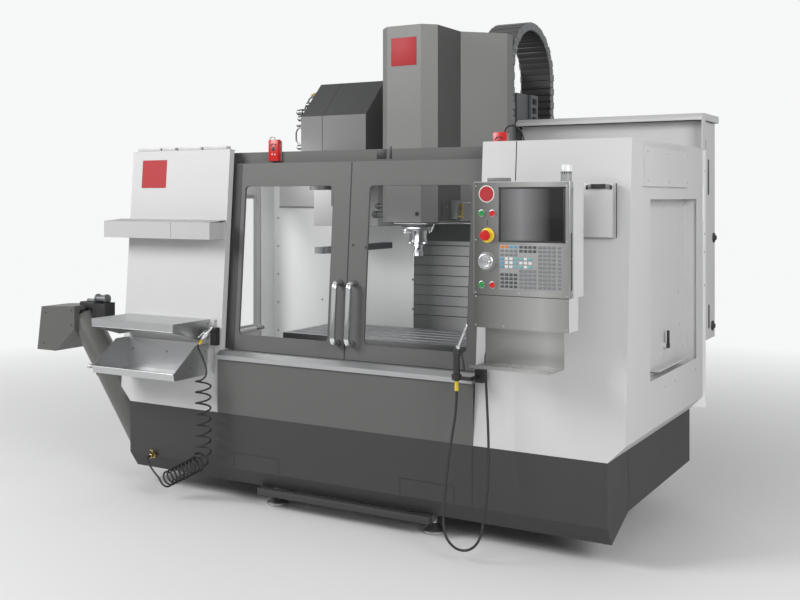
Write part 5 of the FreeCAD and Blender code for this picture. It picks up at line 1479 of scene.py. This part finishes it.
class CENTER_OT_air_gun(bpy.types.Operator):
    """Curly air hose with its gun, lever, collar and wall fitting"""

    bl_idname = "center.air_gun"
    bl_label = "Air gun"

    def execute(self, context):
        sizes = context.scene.center_sizes
        end, nozzle = at(-0.684, -0.060, 0.702), at(-0.605, -0.060, 0.783)
        axis = (nozzle - end).normalized()
        across = Vector((-axis.z, 0, axis.x))
        route = air_route(end, axis)
        line = spline("air_route", route, 0.0)
        path = [v.co.copy() for v in bpy.data.meshes.new_from_object(line).vertices]
        bpy.data.objects.remove(line)
        tube = bmesh.new()
        add_tube(tube, path, sizes.air_hose / 2, 10)
        hose = piece("curly_air_hose", tube, "rubber", "frame", ["air_hose"], 60.0)
        gun = bmesh.new()
        add_turned(gun, end + axis * 0.026, axis, [
            (0, 0.0075), (0.003, 0.0095), (0.020, 0.010), (0.038, 0.010), (0.044, 0.0080), (0.046, 0.0050),
            (0.070, 0.0045), (0.078, 0.0030), (0.080, 0.0022), (0.080, 0)], 24)
        pivot = end + axis * 0.066 + across * 0.014
        for side in (-1, 1):
            add_turned(gun, pivot + Vector((0, side * 0.0096, 0)) - across * 0.012, across,
                       [(0, 0.0013), (0.015, 0.0013)], 10)
        gun_made = piece("air_gun_body", gun, "chrome", "frame", ["air_gun"])
        collar_made = turned_piece("air_gun_collar", "yellow plastic", "frame", end, axis, [
            (0, 0.0041), (0, 0.0065), (0.003, 0.007), (0.022, 0.007), (0.026, 0.006)], 24)
        lever = bmesh.new()
        tip = end + axis * 0.018 + across * 0.021
        add_tube(lever, [pivot, pivot.lerp(tip, 0.5) + across * 0.0006, tip], 0.003, 12)
        add_turned(lever, pivot - Vector((0, 0.008, 0)), BACK, [(0, 0.002), (0.016, 0.002)], 12)
        lever_made = piece("air_gun_lever", lever, "chrome", "air_lever_body", ["air_lever"])
        tuple(at(*AIR_PORT))
        fitting = bmesh.new()
        x, z = AIR_PORT[0], AIR_PORT[2]
        add_turned(fitting, at(x, 0.0, z), FRONT, [(0, 0.0135), (0.004, 0.0145), (0.010, 0.0135)], 6)
        add_turned(fitting, at(x, 0.0, z), FRONT, [
            (0.008, 0.009), (0.020, 0.009), (0.021, 0.011), (0.030, 0.011), (0.0335, 0.007)], 24)
        add_turned(fitting, at(x, -0.020, z), UP, [
            (0, 0.007), (0.018, 0.007), (0.019, 0.010), (0.028, 0.010), (0.030, 0.004)], 18)
        piece("air_fitting_brass", fitting, "brass", "frame")
        return {"FINISHED"}


# name, place, point aimed at, side in metres, power in watts
LAMPS = (("key", (-3.0, -4.4, 3.7), (0.0, 0.0, 1.0), 2.4, 235.0),
         ("fill", (4.9, -2.9, 2.6), (0.5, 0.0, 1.0), 2.2, 150.0),
         ("top", (0.3, -0.4, 5.2), (0.3, 0.0, 0.0), 3.6, 12.0),
         ("back", (-1.5, 5.0, 3.6), (0.3, 0.0, 1.2), 3.0, 25.0),
         ("inside_left", at(-0.95, 0.42, 1.47), at(-0.72, REAR_WALL_Y, 0.75), 0.34, 2.2),
         ("inside_middle", at(-0.20, 0.24, 0.92), at(-0.30, REAR_WALL_Y, 0.84), 0.40, 1.6),
         ("inside_right", at(0.14, 0.22, 0.98), at(0.18, REAR_WALL_Y, 0.84), 0.34, 1.1))
CAMERA_PLACE, CAMERA_TURN, CAMERA_SHIFT = at(2.3785, -3.603, 1.345), math.radians(30), -0.12875


class CENTER_OT_stage(bpy.types.Operator):
    """Floor, soft lights and the camera"""

    bl_idname = "center.stage"
    bl_label = "Stage"

    def execute(self, context):
        setup = context.scene.center_stage
        floor = bmesh.new()
        bmesh.ops.create_grid(floor, x_segments=1, y_segments=1, size=60.0)
        mesh = bpy.data.meshes.new("floor")
        floor.to_mesh(mesh)
        floor.free()
        ground = bpy.data.objects.new("floor", mesh)
        context.scene.collection.objects.link(ground)
        made = Finish("studio floor", setup.floor, 0.6)
        made.shade(tuple(setup.floor), made.noise(0.6), 0.03)
        away = made.node("ShaderNodeVectorMath", {"operation": "LENGTH"}, {0: made.place()}, "Value")
        fade = made.node("ShaderNodeMapRange", values={"Value": away, "From Min": 1.7, "From Max": 5.5})
        seen = made.node("ShaderNodeLightPath", out="Is Camera Ray") * fade
        glow = made.node("ShaderNodeEmission", values={"Color": (0.93, 0.935, 0.94, 1.0)})
        near = Socket(made.tree, made.shader.outputs[0])
        mixed = made.node("ShaderNodeMixShader", values={0: seen, 1: near, 2: glow})
        made.tree.links.new(mixed.output, made.tree.nodes["Material Output"].inputs["Surface"])
        mesh.materials.append(made.material)
        world = context.scene.world or bpy.data.worlds.new("studio")
        context.scene.world = world
        world.use_nodes = True
        tree = world.node_tree
        background = tree.nodes["Background"]
        rays = add_node(tree, "ShaderNodeLightPath", out="Is Camera Ray")
        glossy = add_node(tree, "ShaderNodeLightPath", out="Is Glossy Ray")
        strength = rays * 0.66 + glossy * 0.30 + 0.30
        background.inputs["Color"].default_value = (0.97, 0.975, 0.98, 1.0)
        tree.links.new(strength.output, background.inputs["Strength"])
        for name, place, aim, size, power in LAMPS:
            lamp = bpy.data.lights.new(name, "AREA")
            lamp.size = size
            lamp.energy = power
            holder = bpy.data.objects.new(name, lamp)
            holder.location = place
            holder.rotation_euler = (Vector(aim) - Vector(place)).to_track_quat("-Z", "Y").to_euler()
            context.scene.collection.objects.link(holder)
        camera = bpy.data.cameras.new("camera")
        camera.lens = setup.lens
        camera.sensor_width = 36.0
        camera.shift_y = CAMERA_SHIFT
        camera.clip_end = 100.0
        eye = bpy.data.objects.new("camera", camera)
        eye.location = CAMERA_PLACE
        eye.rotation_euler = (math.radians(90), 0, CAMERA_TURN)
        context.scene.collection.objects.link(eye)
        context.scene.camera = eye
        context.scene.view_settings.view_transform = "Standard"
        return {"FINISHED"}


STEPS = (CENTER_OT_finishes, CENTER_OT_base, CENTER_OT_enclosure, CENTER_OT_inside, CENTER_OT_interlocks,
         CENTER_OT_cabinet, CENTER_OT_rear, CENTER_OT_doors, CENTER_OT_head, CENTER_OT_coolant,
         CENTER_OT_spindle, CENTER_OT_ways, CENTER_OT_chain, CENTER_OT_changer, CENTER_OT_valves,
         CENTER_OT_auger, CENTER_OT_pendant, CENTER_OT_buttons, CENTER_OT_jog, CENTER_OT_beacon,
         CENTER_OT_pendant_trim, CENTER_OT_clipboard, CENTER_OT_shelves, CENTER_OT_washdown,
         CENTER_OT_air_gun, CENTER_OT_stage)


class CENTER_PT_panel(bpy.types.Panel):
    bl_label = "Machining Center"
    bl_idname = "CENTER_PT_panel"
    bl_space_type = "VIEW_3D"
    bl_region_type = "UI"
    bl_category = "Machining Center"

    def draw(self, context):
        for step in STEPS:
            self.layout.operator(step.bl_idname)


GROUPS = {"center_paint": CenterPaint, "center_sizes": CenterSizes, "center_stage": CenterStage}


def register():
    for kind in (*GROUPS.values(), *STEPS, CENTER_PT_panel):
        bpy.utils.register_class(kind)
    for name, kind in GROUPS.items():
        setattr(bpy.types.Scene, name, bpy.props.PointerProperty(type=kind))


def unregister():
    for name in GROUPS:
        delattr(bpy.types.Scene, name)
    for kind in (CENTER_PT_panel, *reversed(STEPS), *GROUPS.values()):
        bpy.utils.unregister_class(kind)


def main():
    register()
    for step in STEPS:
        group, name = step.bl_idname.split(".")
        getattr(getattr(bpy.ops, group), name)()


if __name__ == "__main__":
    main()
